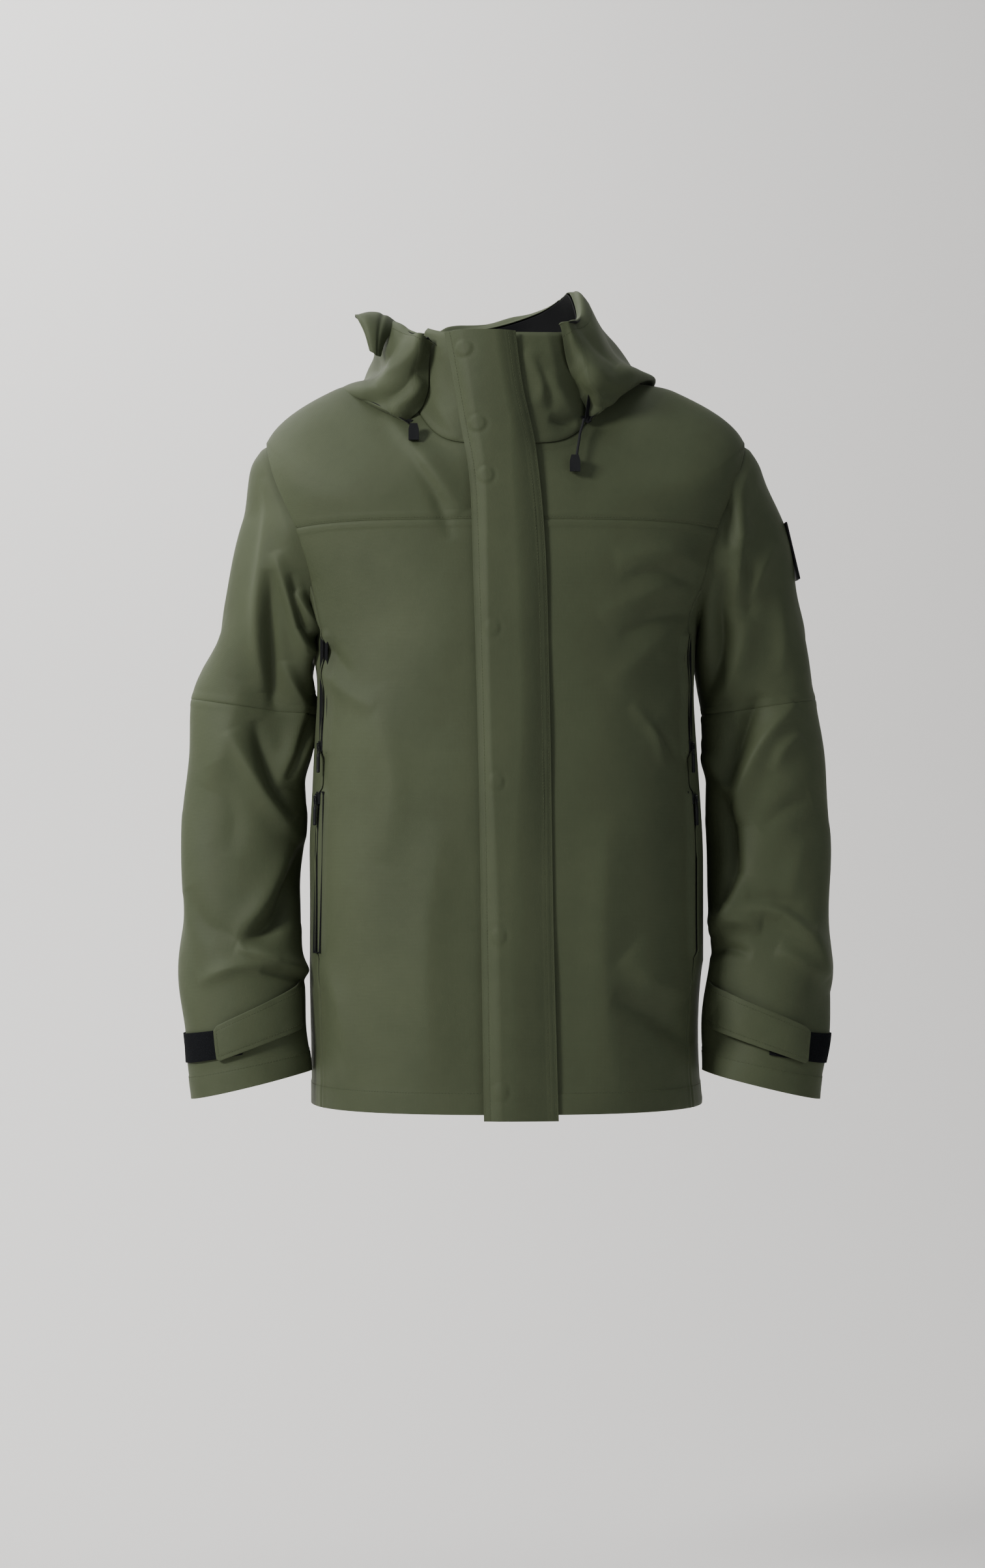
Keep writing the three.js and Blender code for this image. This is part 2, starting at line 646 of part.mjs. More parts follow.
/** Puller: a bar in the crown, two arms beside it and a tongue that hangs down. */
function zipPuller(coilWidth, length) {
  const slotHalf = 0.15 * coilWidth + 0.6;
  const armHalf = slotHalf + 1.2;
  const bar = 0.14 * coilWidth;
  const slotDepth = 0.8 * coilWidth + 0.9;
  const outline = new THREE.Shape();
  outline.moveTo(-armHalf, bar);
  outline.lineTo(-armHalf, -slotDepth - 2);
  outline.lineTo(-armHalf * 0.8, -length);
  outline.lineTo(armHalf * 0.8, -length);
  outline.lineTo(armHalf, -slotDepth - 2);
  outline.lineTo(armHalf, bar);
  const slot = new THREE.Path();
  slot.moveTo(-slotHalf, -bar);
  slot.lineTo(slotHalf, -bar);
  slot.lineTo(slotHalf, -slotDepth);
  slot.lineTo(-slotHalf, -slotDepth);
  outline.holes.push(slot);
  const thickness = Math.min(PULLER_THICKNESS, 2 * bar);
  const geometry = new THREE.ExtrudeGeometry(outline, { depth: thickness, bevelEnabled: false });
  geometry.applyMatrix4(new THREE.Matrix4().makeBasis(
    new THREE.Vector3(1, 0, 0), new THREE.Vector3(0, 0, 1), new THREE.Vector3(0, -1, 0),
  ));
  geometry.translate(0, thickness / 2 + crownBarY(coilWidth), 0);
  return closed(geometry);
}

/** A whole zip between two points of the body, its tape, slider and puller in one frame. */
function zipGroup(name, coilWidth, pullerLength, lift, top, bottom, normal, sliderDrop) {
  const up = top.clone().sub(bottom).normalize();
  const backwards = normal.clone().negate();
  backwards.addScaledVector(up, -backwards.dot(up)).normalize();
  const right = backwards.clone().cross(up);
  const group = new THREE.Group();
  group.quaternion.setFromRotationMatrix(new THREE.Matrix4().makeBasis(right, backwards, up));
  group.position.copy(top).addScaledVector(backwards, -lift);
  const tape = named(`${name}_tape`, zipTape(coilWidth, top.distanceTo(bottom)), TRIM_BLACK);
  const slider = named(`${name}_slider`, zipSlider(coilWidth), SNAP_METAL);
  const puller = named(`${name}_puller`, zipPuller(coilWidth, pullerLength), TRIM_BLACK);
  slider.position.z = -sliderDrop;
  puller.position.z = -sliderDrop;
  group.add(tape, slider, puller);
  return group;
}

function sideZip(name, side, topDrop, length, sliderDrop) {
  const seamAt = (drop) => {
    const level = levelAt(() => side * FRONT_SIDE_SEAM, -drop);
    return bodyPoint(side * FRONT_SIDE_SEAM, level);
  };
  const top = seamAt(topDrop);
  const bottom = seamAt(topDrop + length);
  const middle = levelAt(() => side * FRONT_SIDE_SEAM, -(topDrop + length / 2));
  const normal = bodyNormal(side * FRONT_SIDE_SEAM, middle);
  return zipGroup(name, SMALL_COIL_WIDTH, PULLER_LENGTH, ZIP_LIFT, top, bottom, normal, sliderDrop);
}

function mainZip() {
  const topHeight = COLLAR_RISE - MAIN_ZIP_TOP_MARGIN;
  const placket = (z) => new THREE.Vector3(zipX(z), frontReach(z), z);
  const normal = new THREE.Vector3(0, -1, frontSlope).normalize();
  const sliderDrop = sliderLength(MAIN_COIL_WIDTH) / 2 + 2;
  return zipGroup('main_zip', MAIN_COIL_WIDTH, MAIN_PULLER_LENGTH, MAIN_ZIP_LIFT,
    placket(topHeight), placket(-BODY_LENGTH + 2), normal, sliderDrop);
}

// ---------------------------------------------------------------- hood
/** Three profiles again, front, side and back, from the hood's lower fold up to its rim. */
function hoodSurface(front, side, back) {
  const [frontLine, sideLine, backLine] = [front, side, back].map(
    (points) => new THREE.CatmullRomCurve3(points.map(([reach, z]) => new THREE.Vector3(reach, 0, z))),
  );
  return (angle, v) => {
    const k = THREE.MathUtils.clamp(v, 0, 1);
    const flank = sideLine.getPoint(k);
    const end = (Math.cos(angle) > 0 ? frontLine : backLine).getPoint(k);
    const mix = Math.sin(angle) ** 4;
    return new THREE.Vector3(
      Math.sign(Math.sin(angle)) * flank.x * Math.abs(Math.sin(angle)) ** FULLNESS,
      -Math.sign(Math.cos(angle)) * end.x * Math.abs(Math.cos(angle)) ** FULLNESS,
      flank.z * mix + end.z * (1 - mix),
    );
  };
}

const hoodShell = hoodSurface(
  [[112, -34], [120, -12], [118, 16], [114, 50]],
  [[HOOD_SIDE_REACH, 11], [HOOD_SIDE_REACH - 22, 30], [HOOD_SIDE_REACH - 48, 60], [78, HOOD_RIM_HEIGHT]],
  [[HOOD_BACK_REACH - 18, -HOOD_BACK_DROP], [HOOD_BACK_REACH, -46], [HOOD_BACK_REACH - 6, 20],
    [92, HOOD_RIM_HEIGHT - 12]],
);
const hoodInner = hoodSurface(
  [[108, 48], [102, 30], [98, 0]],
  [[73, HOOD_RIM_HEIGHT - 1], [78, 60], [88, 24]],
  [[87, HOOD_RIM_HEIGHT - 14], [80, 50], [74, 8]],
);
const hoodInside = (point) => new THREE.Vector3(point.x * 0.8, point.y * 0.8, point.z - 40);
const liningInside = (point) => new THREE.Vector3(0, 0, point.z);
const HOOD_FRONT_LOW = THREE.MathUtils.degToRad(40);
const HOOD_FRONT_HIGH = THREE.MathUtils.degToRad(48);
const hoodGap = SEAM_GAP / 2 / HOOD_SIDE_REACH;

function hoodPiece(startAngle, endAngle, columns) {
  const surface = (u, v) => hoodShell(lerp(startAngle(v), endAngle(v), u), v);
  return bentPanel(columns, 6, walled(surface, WALL, hoodInside));
}

function hoodSide(side) {
  return hoodPiece(
    (v) => side * lerp(HOOD_FRONT_LOW, HOOD_FRONT_HIGH, v),
    () => side * (HOOD_SEAM - hoodGap),
    8,
  );
}

function hoodLining() {
  const start = THREE.MathUtils.degToRad(64);
  const surface = (u, v) => hoodInner(lerp(start, 2 * Math.PI - start, u), v);
  return bentPanel(16, 4, walled(surface, WALL, liningInside));
}

/** The stiffened peak of the hood, curled over outwards on the wearer's right. */
function hoodBrim() {
  const surface = (u, v) => {
    const y = lerp(-BRIM_LENGTH * 0.55, BRIM_LENGTH * 0.45, v);
    const bow = 1 - (2 * v - 1) ** 2;
    return new THREE.Vector3(
      -(HOOD_SIDE_REACH - 50 + BRIM_WIDTH * u * (0.75 + 0.25 * bow)),
      y,
      HOOD_RIM_HEIGHT - 30 + 8 * Math.sin(Math.PI * u) * bow - 4 * u,
    );
  };
  const below = (point) => point.clone().add(new THREE.Vector3(0, 0, -50));
  return bentPanel(5, 6, walled(surface, WALL, below));
}

// ---------------------------------------------------------------- cords, toggles, small pieces
/** The free end of the hood's drawcord, from under the hood down over the yoke. */
const cordLine = (x, heights, lift) => new THREE.CatmullRomCurve3(heights.map((z) => {
  const { point, normal } = onFront(x, z);
  return point.addScaledVector(normal, lift);
}));

function cordTube(line) {
  const radius = CORD_DIAMETER / 2;
  const section = new THREE.Shape();
  for (let k = 0; k < 8; k += 1) {
    const turn = (k / 8) * 2 * Math.PI;
    const corner = [radius * Math.cos(turn), radius * Math.sin(turn)];
    if (k === 0) section.moveTo(...corner);
    else section.lineTo(...corner);
  }
  section.closePath();
  return closed(new THREE.ExtrudeGeometry(section, { steps: 8, extrudePath: line, bevelEnabled: false }));
}

function toggle(x, topZ, lift) {
  const half = TOGGLE_WIDTH / 2;
  const outline = new THREE.Shape();
  outline.moveTo(-half * 0.7, 0);
  outline.lineTo(half * 0.7, 0);
  outline.lineTo(half, -TOGGLE_HEIGHT * 0.35);
  outline.lineTo(half, -TOGGLE_HEIGHT);
  outline.lineTo(-half, -TOGGLE_HEIGHT);
  outline.lineTo(-half, -TOGGLE_HEIGHT * 0.35);
  const geometry = new THREE.ExtrudeGeometry(outline, { depth: TOGGLE_DEPTH, bevelEnabled: false });
  geometry.applyMatrix4(new THREE.Matrix4().makeBasis(
    new THREE.Vector3(1, 0, 0), new THREE.Vector3(0, 0, 1), new THREE.Vector3(0, -1, 0),
  ));
  const { point, normal } = onFront(x, topZ - TOGGLE_HEIGHT / 2);
  const seat = point.addScaledVector(normal, lift);
  geometry.translate(seat.x, seat.y, topZ);
  return closed(geometry);
}

/** Share of the upper sleeve's outer line at which it has dropped this far. */
function sleeveShareAt(drop) {
  let v = 0;
  while (v < 1 && upperSleevePoint(0, v).z > -drop) v += STEP;
  return v;
}

/**
 * Badge on the wearer's left upper arm, a flat plate just off the sleeve.
 *
 * It leans with the sleeve between its own top and foot, and stands clear of the sleeve's
 * highest place under it.
 */
function badge() {
  const above = sleeveShareAt(BADGE_DROP - BADGE_HEIGHT / 2);
  const below = sleeveShareAt(BADGE_DROP + BADGE_HEIGHT / 2);
  const top = upperSleevePoint(0, above);
  const foot = upperSleevePoint(0, below);
  const tilt = Math.atan2(foot.x - top.x, top.z - foot.z);
  const away = new THREE.Vector3(Math.cos(tilt), 0, Math.sin(tilt));
  const middle = upperSleevePoint(0, sleeveShareAt(BADGE_DROP));
  let rise = 0;
  for (let v = above; v <= below; v += STEP) {
    rise = Math.max(rise, upperSleevePoint(0, v).sub(middle).dot(away));
  }
  const geometry = closed(new THREE.BoxGeometry(BADGE_THICKNESS, BADGE_WIDTH, BADGE_HEIGHT));
  geometry.rotateY(-tilt);
  const seat = middle.addScaledVector(away, rise + BADGE_CLEARANCE + BADGE_THICKNESS / 2);
  geometry.translate(seat.x, seat.y, seat.z);
  return geometry;
}

function hangerLoop() {
  const half = LOOP_LENGTH / 2;
  const depth = NECK_BACK_REACH - 12;
  const line = new THREE.CatmullRomCurve3([
    new THREE.Vector3(-half, depth, -6),
    new THREE.Vector3(-half * 0.6, depth - LOOP_HEIGHT * 0.7, 0),
    new THREE.Vector3(0, depth - LOOP_HEIGHT, 2),
    new THREE.Vector3(half * 0.6, depth - LOOP_HEIGHT * 0.7, 0),
    new THREE.Vector3(half, depth, -6),
  ]);
  const section = new THREE.Shape([
    new THREE.Vector2(-1, -LOOP_WIDTH / 2),
    new THREE.Vector2(1, -LOOP_WIDTH / 2),
    new THREE.Vector2(1, LOOP_WIDTH / 2),
    new THREE.Vector2(-1, LOOP_WIDTH / 2),
  ]);
  return closed(new THREE.ExtrudeGeometry(section, { steps: 12, extrudePath: line, bevelEnabled: false }));
}

// ---------------------------------------------------------------- the jacket
const jacket = new THREE.Group();
const mirrorX = (geometry) => closed(geometry.clone().scale(-1, 1, 1));

for (const [label, side] of [['right', -1], ['left', 1]]) {
  jacket.add(named(`front_panel_${label}`, frontPanel(side), SHELL_GREEN));
  jacket.add(named(`front_yoke_${label}`, frontYoke(side), SHELL_GREEN));
  jacket.add(named(`side_panel_${label}`, sidePanel(side), SHELL_GREEN));
  jacket.add(named(`collar_${label}`, collarPanel(side), SHELL_GREEN));
  jacket.add(named(`pocket_bag_${label}`, pocketBag(side), LINING_BLACK));
  jacket.add(named(`hood_side_${label}`, hoodSide(side), SHELL_GREEN));
  const sleeveParts = [
    ['upper_sleeve', bentTube(20, 7, walled(upperSurface, WALL, upperInside)), SHELL_GREEN],
    ['lower_sleeve', bentTube(20, 8, walled(lowerSurface, WALL, lowerInside)), SHELL_GREEN],
    ['cuff_tab', cuffTab(), SHELL_GREEN],
    ['cuff_strip', cuffStrip(), TRIM_BLACK],
  ];
  for (const [piece, geometry, finish] of sleeveParts) {
    jacket.add(named(`${piece}_${label}`, side > 0 ? geometry : mirrorX(geometry), finish));
  }
  const small = sliderLength(SMALL_COIL_WIDTH) / 2 + 2;
  jacket.add(sideZip(`hand_zip_${label}`, side, HAND_ZIP_TOP_DROP, HAND_ZIP_LENGTH, small));
  jacket.add(sideZip(`pit_zip_${label}`, side, PIT_ZIP_TOP_DROP, PIT_ZIP_LENGTH, PIT_ZIP_LENGTH - small));
}

jacket.add(named('back_panel', backPiece(HEM, YOKE - seamLevel, 12), SHELL_GREEN));
jacket.add(named('back_yoke', backPiece(YOKE + seamLevel, NECK - seamLevel, 9), SHELL_GREEN));
jacket.add(named('hood_centre', hoodPiece(
  () => HOOD_SEAM + hoodGap, () => 2 * Math.PI - HOOD_SEAM - hoodGap, 8,
), SHELL_GREEN));
jacket.add(named('hood_lining', hoodLining(), LINING_BLACK));
jacket.add(named('hood_brim', hoodBrim(), SHELL_GREEN));
jacket.add(named('storm_flap', stormFlap(), SHELL_GREEN));
jacket.add(mainZip());

for (let number = 0; number < SNAP_COUNT; number += 1) {
  jacket.add(named(`snap_stud_${number + 1}`, snapHalf(number, 0.8, 1.4, SNAP_DIAMETER * 0.8), SNAP_METAL));
  jacket.add(named(`snap_cap_${number + 1}`, snapHalf(number, 3, 2, SNAP_DIAMETER), SNAP_METAL));
}

jacket.add(named('drawcord_left', cordTube(cordLine(70, [-42, -53, -64, -76], 5)), TRIM_BLACK));
jacket.add(named('cord_toggle_left', toggle(66, -77, 3), TRIM_BLACK));
jacket.add(named('cord_toggle_right', toggle(-87, -45, 10), TRIM_BLACK));
jacket.add(named('sleeve_badge', badge(), TRIM_BLACK));
jacket.add(named('hanger_loop', hangerLoop(), TRIM_BLACK));

export default jacket;
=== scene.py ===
"""A hooded hardshell jacket: cloth, trims and studio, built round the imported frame.

Every surface is a function of two parameters worked out with numpy on a grid. Lengths are
metres, +Z is up, -Y is the front and +X the wearer's left, with the origin at the neck.
"""
import json
import logging
import math
from dataclasses import dataclass, field
from enum import Enum
from typing import Callable, Sequence

import bpy
import numpy as np
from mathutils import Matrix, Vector


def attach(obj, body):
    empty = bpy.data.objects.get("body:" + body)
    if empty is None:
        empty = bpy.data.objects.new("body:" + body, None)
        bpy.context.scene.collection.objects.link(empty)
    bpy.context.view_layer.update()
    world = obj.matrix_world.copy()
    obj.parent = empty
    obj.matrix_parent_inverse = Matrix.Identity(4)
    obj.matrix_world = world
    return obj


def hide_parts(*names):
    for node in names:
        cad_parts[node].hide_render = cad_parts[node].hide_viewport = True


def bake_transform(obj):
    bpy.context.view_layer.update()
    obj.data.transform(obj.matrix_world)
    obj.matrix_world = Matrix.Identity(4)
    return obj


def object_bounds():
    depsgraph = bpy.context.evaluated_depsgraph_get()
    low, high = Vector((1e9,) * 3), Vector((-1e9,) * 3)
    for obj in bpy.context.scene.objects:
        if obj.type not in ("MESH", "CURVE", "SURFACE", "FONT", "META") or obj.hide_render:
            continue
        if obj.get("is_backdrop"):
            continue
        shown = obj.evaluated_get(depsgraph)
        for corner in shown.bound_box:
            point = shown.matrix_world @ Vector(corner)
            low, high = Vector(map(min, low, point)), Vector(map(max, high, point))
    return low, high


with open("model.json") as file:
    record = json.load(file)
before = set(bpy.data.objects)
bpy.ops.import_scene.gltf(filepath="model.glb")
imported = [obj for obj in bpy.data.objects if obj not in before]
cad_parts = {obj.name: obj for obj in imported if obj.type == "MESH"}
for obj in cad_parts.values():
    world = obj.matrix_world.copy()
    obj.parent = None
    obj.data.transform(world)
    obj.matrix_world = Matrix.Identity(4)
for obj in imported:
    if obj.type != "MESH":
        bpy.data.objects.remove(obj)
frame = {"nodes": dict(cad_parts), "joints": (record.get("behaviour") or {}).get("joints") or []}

LOG = logging.getLogger("hardshell_jacket")
CAD_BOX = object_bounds()
MM = 0.001
Array = np.ndarray


class Side(Enum):
    """Which side of the wearer a piece is on; the value is the sign of its x."""

    RIGHT = -1
    LEFT = 1

    @property
    def label(self) -> str:
        """The word that node names use."""
        return self.name.lower()


class Layer(Enum):
    """The record's slot names of the cloth layers."""

    SHELL = "shell_fabric"
    LINING = "lining_fabric"
    LOOP = "hook_and_loop"
    TAPE = "zip_tape"


# ------------------------------------------------------------------ small maths
def smoothstep(low: float, high: float, value: Array) -> Array:
    """A soft step from 0 at low to 1 at high.

    Args:
        low: where the step starts.
        high: where it ends; may be below low.
        value: where it is asked for.

    Returns:
        3k^2 - 2k^3 of the clamped share k.
    """
    k = np.clip((value - low) / (high - low), 0.0, 1.0)
    return k * k * (3.0 - 2.0 * k)


def unit(vectors: Array) -> Array:
    """Vectors along the last axis scaled to length one."""
    return vectors / np.maximum(np.linalg.norm(vectors, axis=-1, keepdims=True), 1e-12)


def lerp(start: Array, end: Array, share: Array) -> Array:
    """A straight mix of two values."""
    return start + (end - start) * share


def catmull(points: Array, share: Array) -> Array:
    """A centripetal Catmull-Rom curve through points that are evenly shared along it.

    Args:
        points: what the curve runs through along the first axis, numbers on the last axis.
        share: 0 at the first to 1 at the last.

    Returns:
        The shape of share, then the points' other axes.
    """
    last = len(points) - 1
    padded = np.concatenate([2 * points[:1] - points[1:2], points, 2 * points[-1:] - points[-2:-1]])
    place = np.clip(np.asarray(share, float), 0.0, 1.0) * last
    cell = np.minimum(place.astype(int), last - 1)
    w = (place - cell).reshape(place.shape + (1,) * (points.ndim - 1))
    p0, p1, p2, p3 = (padded[cell + k] for k in range(4))
    d0, d1, d2 = (
        np.maximum(np.sqrt(np.linalg.norm(b - a, axis=-1, keepdims=True)), 1e-6)
        for a, b in ((p0, p1), (p1, p2), (p2, p3))
    )
    t1 = ((p1 - p0) / d0 - (p2 - p0) / (d0 + d1) + (p2 - p1) / d1) * d1
    t2 = ((p2 - p1) / d1 - (p3 - p1) / (d1 + d2) + (p3 - p2) / d2) * d1
    c2 = -3 * p1 + 3 * p2 - 2 * t1 - t2
    c3 = 2 * p1 - 2 * p2 + t1 + t2
    return p1 + t1 * w + c2 * w**2 + c3 * w**3


@dataclass(frozen=True)
class Spline:
    """A curve through points that are evenly shared along it."""

    points: tuple[tuple[float, ...], ...]

    def at(self, share: Array) -> Array:
        """The curve's places at shares of any shape, the numbers on a last axis."""
        return catmull(np.array(self.points, float), share)


def value_noise(u: Array, v: Array, seed: int) -> Array:
    """Smooth random waves between -1 and 1 with a period of about one unit.

    Args:
        u: first coordinate, in units.
        v: second coordinate, in units.
        seed: which field of waves.

    Returns:
        Random lattice values mixed by smooth steps between their four neighbours.
    """
    table = np.random.default_rng(seed).uniform(-1, 1, (64, 64))
    iu, iv = np.floor(u).astype(int), np.floor(v).astype(int)
    fu, fv = smoothstep(0, 1, u - iu), smoothstep(0, 1, v - iv)
    corner = lambda a, b: table[(iu + a) % 64, (iv + b) % 64]
    low = lerp(corner(0, 0), corner(1, 0), fu)
    high = lerp(corner(0, 1), corner(1, 1), fu)
    return lerp(low, high, fv)


def spread(count: int, length: float, edge: float = 0.0007) -> Array:
    """Grid lines from 0 to 1 that crowd towards both ends, so that a seam's roll is round.

    Args:
        count: how many even steps there are between the crowded ends.
        length: the real length that they cover.
        edge: the first line's distance from an end.

    Returns:
        Even lines with four closer ones at each end.
    """
    rim = np.array([0, 1, 2.2, 4.2, 7.5]) * edge / length
    inner = np.linspace(rim[-1], 1 - rim[-1], count + 1)[1:-1]
    return np.concatenate([rim, inner, 1 - rim[::-1]])


def patch(columns: tuple[float, ...], rows: tuple[float, ...]) -> tuple[Array, Array]:
    """Shares across and up a patch of cloth; each argument holds what spread takes."""
    across, up = np.broadcast_arrays(spread(*columns)[None, :], spread(*rows)[:, None])
    return across, up


def bell(value: Array, middle: float, width: float) -> Array:
    """A bell curve that is 1 at the middle and falls off over the width."""
    return np.exp(-(((value - middle) / width) ** 2))


# ------------------------------------------------------------------ the drape of the cloth
@dataclass(frozen=True)
class Crease:
    """A ridge or a valley of the cloth along a line seen from the front or the back."""

    line: tuple[tuple[float, float], ...]
    height: float
    width: float
    skew: float = 1.0
    back: bool = False

    def lift(self, points: Array, facing: Array) -> Array:
        """How far the cloth stands off along its normal.

        The distance d to the line, seen along Y, gives height * exp(-(d / width)^1.7), with the
        width multiplied by skew on the line's left, fading to nothing at both ends.

        Args:
            points: places on the cloth, in metres.
            facing: 1 where the cloth faces the front, -1 where it faces the back.

        Returns:
            Lifts in metres.
        """
        x, z = points[..., 0], points[..., 2]
        nodes = Spline(self.line).at(np.linspace(0, 1, 3 * len(self.line)))
        best = np.full(x.shape, 1e9)
        signed = np.zeros(x.shape)
        along = np.zeros(x.shape)
        pieces = len(nodes) - 1
        for k in range(pieces):
            (ax, az), (bx, bz) = nodes[k], nodes[k + 1]
            dx, dz = bx - ax, bz - az
            share = np.clip(((x - ax) * dx + (z - az) * dz) / (dx * dx + dz * dz), 0, 1)
            ex, ez = x - ax - share * dx, z - az - share * dz
            gap = np.hypot(ex, ez)
            nearer = gap < best
            best = np.where(nearer, gap, best)
            signed = np.where(nearer, np.sign(dx * ez - dz * ex) * gap, signed)
            along = np.where(nearer, (k + share) / pieces, along)
        width = np.where(signed > 0, self.width * self.skew, self.width)
        taper = np.sin(np.pi * np.clip(along, 0.0, 1.0)) ** 0.7
        side = smoothstep(-0.45, 0.25, -facing if self.back else facing)
        return self.height * taper * side * np.exp(-((best / width) ** 1.7))


@dataclass(frozen=True)
class Drape:
    """All the creases of one part of the jacket, over a soft uneven swell."""

    creases: tuple[Crease, ...]
    swell: float = 0.0016
    swell_size: float = 0.07
    seed: int = 1

    def lift(self, points: Array, normals: Array) -> Array:
        """The whole lift at places on the cloth, in metres."""
        facing = -normals[..., 1]
        total = self.swell * value_noise(
            points[..., 0] / self.swell_size + 0.7 * facing,
            points[..., 2] / self.swell_size,
            self.seed,
        )
        for crease in self.creases:
            total = total + crease.lift(points, facing)
        return total


# ------------------------------------------------------------------ surfaces
@dataclass(frozen=True)
class BodySurface:
    """The body of the jacket, mixed from a front, a side and a back profile."""

    length: float = 0.710
    back_drop: float = 0.015
    waist: float = 0.470
    armpit: float = 0.238
    yoke: float = 0.139
    neck: float = 0.065
    tip: float = 0.055
    collar: float = 0.043
    half_width: float = 0.195
    half_shoulder: float = 0.238
    half_neck: float = 0.100
    half_collar: float = 0.088
    hem_reach: float = 0.165
    collar_reach: float = 0.113
    half_back: float = 0.138
    neck_back: float = 0.068
    fullness: float = 0.8
    top: float = 7.0

    def front_reach(self, z: Array) -> Array:
        """How far the front stands at a height: one straight slope from hem to collar."""
        slope = (self.hem_reach - self.collar_reach) / (self.length + self.collar)
        return -(self.collar_reach + (self.collar - z) * slope)

    def front_line(self) -> Spline:
        """The profile down the middle of the front, as (x, y, z)."""
        heights = (
            -self.length, -self.waist, -self.armpit, -self.yoke,
            -(2 * self.yoke + self.neck) / 3, -(self.yoke + 2 * self.neck) / 3,
            -self.neck, self.collar,
        )
        return Spline(tuple((0.0, float(self.front_reach(z)), z) for z in heights))

    def side_line(self) -> Spline:
        """The profile down the side, over the shoulder's ridge and up the collar."""
        w, s, n = self.half_width, self.half_shoulder, self.half_neck
        return Spline((
            (w - 0.001, 0, -self.length), (w + 0.001, 0, -self.waist), (w - 0.005, 0, -self.armpit),
            (s - 0.006, 0, -self.yoke - 0.010), (s, 0, -self.tip), ((s + n) / 2, -0.006, -0.004),
            (n, -0.012, 0.012), (self.half_collar, -0.008, self.collar + 0.017),
        ))

    def back_line(self) -> Spline:
        """The profile down the middle of the back."""
        b, n = self.half_back, self.neck_back
        return Spline((
            (0, b, -self.length - self.back_drop), (0, b - 0.008, -self.waist),
            (0, b + 0.002, -self.armpit), (0, b + 0.002, -self.yoke),
            (0, b - 0.008, -self.yoke / 2 - 0.010), (0, (b + n) / 2 + 0.004, -0.028),
            (0, n, 0), (0, n + 0.004, self.collar + 0.027),
        ))

    def point(self, angle: Array, level: Array) -> Array:
        """Places on the surface.

        x is the side profile's reach times sin^0.8, y runs from the side to the front or back
        profile with cos^0.8, and the height mixes the two with sin^4.

        Args:
            angle: turn from the middle of the front, positive to the wearer's left.
            level: 0 at the hem, 3 at the yoke, 4 at the shoulder tip, 6 at the neck, 7 on top.
        """
        angle, level = np.broadcast_arrays(np.asarray(angle, float), np.asarray(level, float))
        k = np.clip(level / self.top, 0, 1)
        side = self.side_line().at(k)
        front, back = self.front_line().at(k), self.back_line().at(k)
        end = np.where((np.cos(angle) > 0)[..., None], front, back)
        across = np.abs(np.sin(angle)) ** self.fullness
        along = np.abs(np.cos(angle)) ** self.fullness
        mix = np.sin(angle) ** 4
        return np.stack([
            np.sign(np.sin(angle)) * side[..., 0] * across,
            side[..., 1] + (end[..., 1] - side[..., 1]) * along,
            side[..., 2] * mix + end[..., 2] * (1 - mix),
        ], axis=-1)

    def normal(self, angle: Array, level: Array) -> Array:
        """Outward normals, from differences along both parameters."""
        step = 2e-3
        along = self.point(angle + step, level) - self.point(angle - step, level)
        across = self.point(angle, level + step) - self.point(angle, level - step)
        normal = unit(np.cross(along, across))
        place = self.point(angle, level)
        inside = np.zeros_like(place)
        inside[..., 2] = np.minimum(place[..., 2], -self.tip) - 0.06
        flip = np.sum(normal * (place - inside), axis=-1, keepdims=True) < 0
        return np.where(flip, -normal, normal)

    def angle_at(self, x: Array, level: Array) -> Array:
        """The turn at which the front stands at x, at a level."""
        reach = self.side_line().at(np.clip(np.asarray(level, float) / self.top, 0, 1))[..., 0]
        return np.sign(x) * np.arcsin(np.minimum(1, np.abs(x) / reach) ** (1 / self.fullness))

    def level_at(self, z: Array, angle_of: Callable[[Array], Array]) -> Array:
        """The level at which the surface reaches a height, halving the span forty times."""
        low, high = np.zeros(np.shape(z)), np.full(np.shape(z), self.top)
        for _ in range(40):
            middle = (low + high) / 2
            under = self.point(angle_of(middle), middle)[..., 2] < z
            low, high = np.where(under, middle, low), np.where(under, high, middle)
        return (low + high) / 2

    def on_front(self, x: Array, z: Array) -> tuple[Array, Array]:
        """A place on the front and its normal, at x and z."""
        x, z = np.broadcast_arrays(np.asarray(x, float), np.asarray(z, float))
        level = self.level_at(z, lambda l: self.angle_at(x, l))
        angle = self.angle_at(x, level)
        return self.point(angle, level), self.normal(angle, level)


BODY = BodySurface()


# ------------------------------------------------------------------ meshes
def grid_normals(grid: Array, closed: bool) -> Array:
    """Normals of a grid of places from its neighbours; closed joins last column to first."""
    if closed:
        along = np.roll(grid, -1, axis=1) - np.roll(grid, 1, axis=1)
    else:
        along = np.gradient(grid, axis=1)
    return unit(np.cross(along, np.gradient(grid, axis=0)))


def quads(corners: Array) -> Array:
    """The four corners of each cell of a grid of numbers or of coordinates."""
    return np.stack([corners[:-1, :-1], corners[:-1, 1:], corners[1:, 1:], corners[1:, :-1]], axis=2)


def arc_grid(grid: Array, closed: bool) -> Array:
    """Cloth coordinates of a grid, in metres run along its columns and rows."""
    wide = np.concatenate([grid, grid[:, :1]], axis=1) if closed else grid
    along = np.linalg.norm(np.diff(wide, axis=1), axis=-1).mean(axis=0)
    down = np.linalg.norm(np.diff(wide, axis=0), axis=-1).mean(axis=1)
    u = np.concatenate([[0], np.cumsum(along)])
    v = np.concatenate([[0], np.cumsum(down)])
    return np.stack(np.broadcast_arrays(u[None, :], v[:, None]), axis=-1)


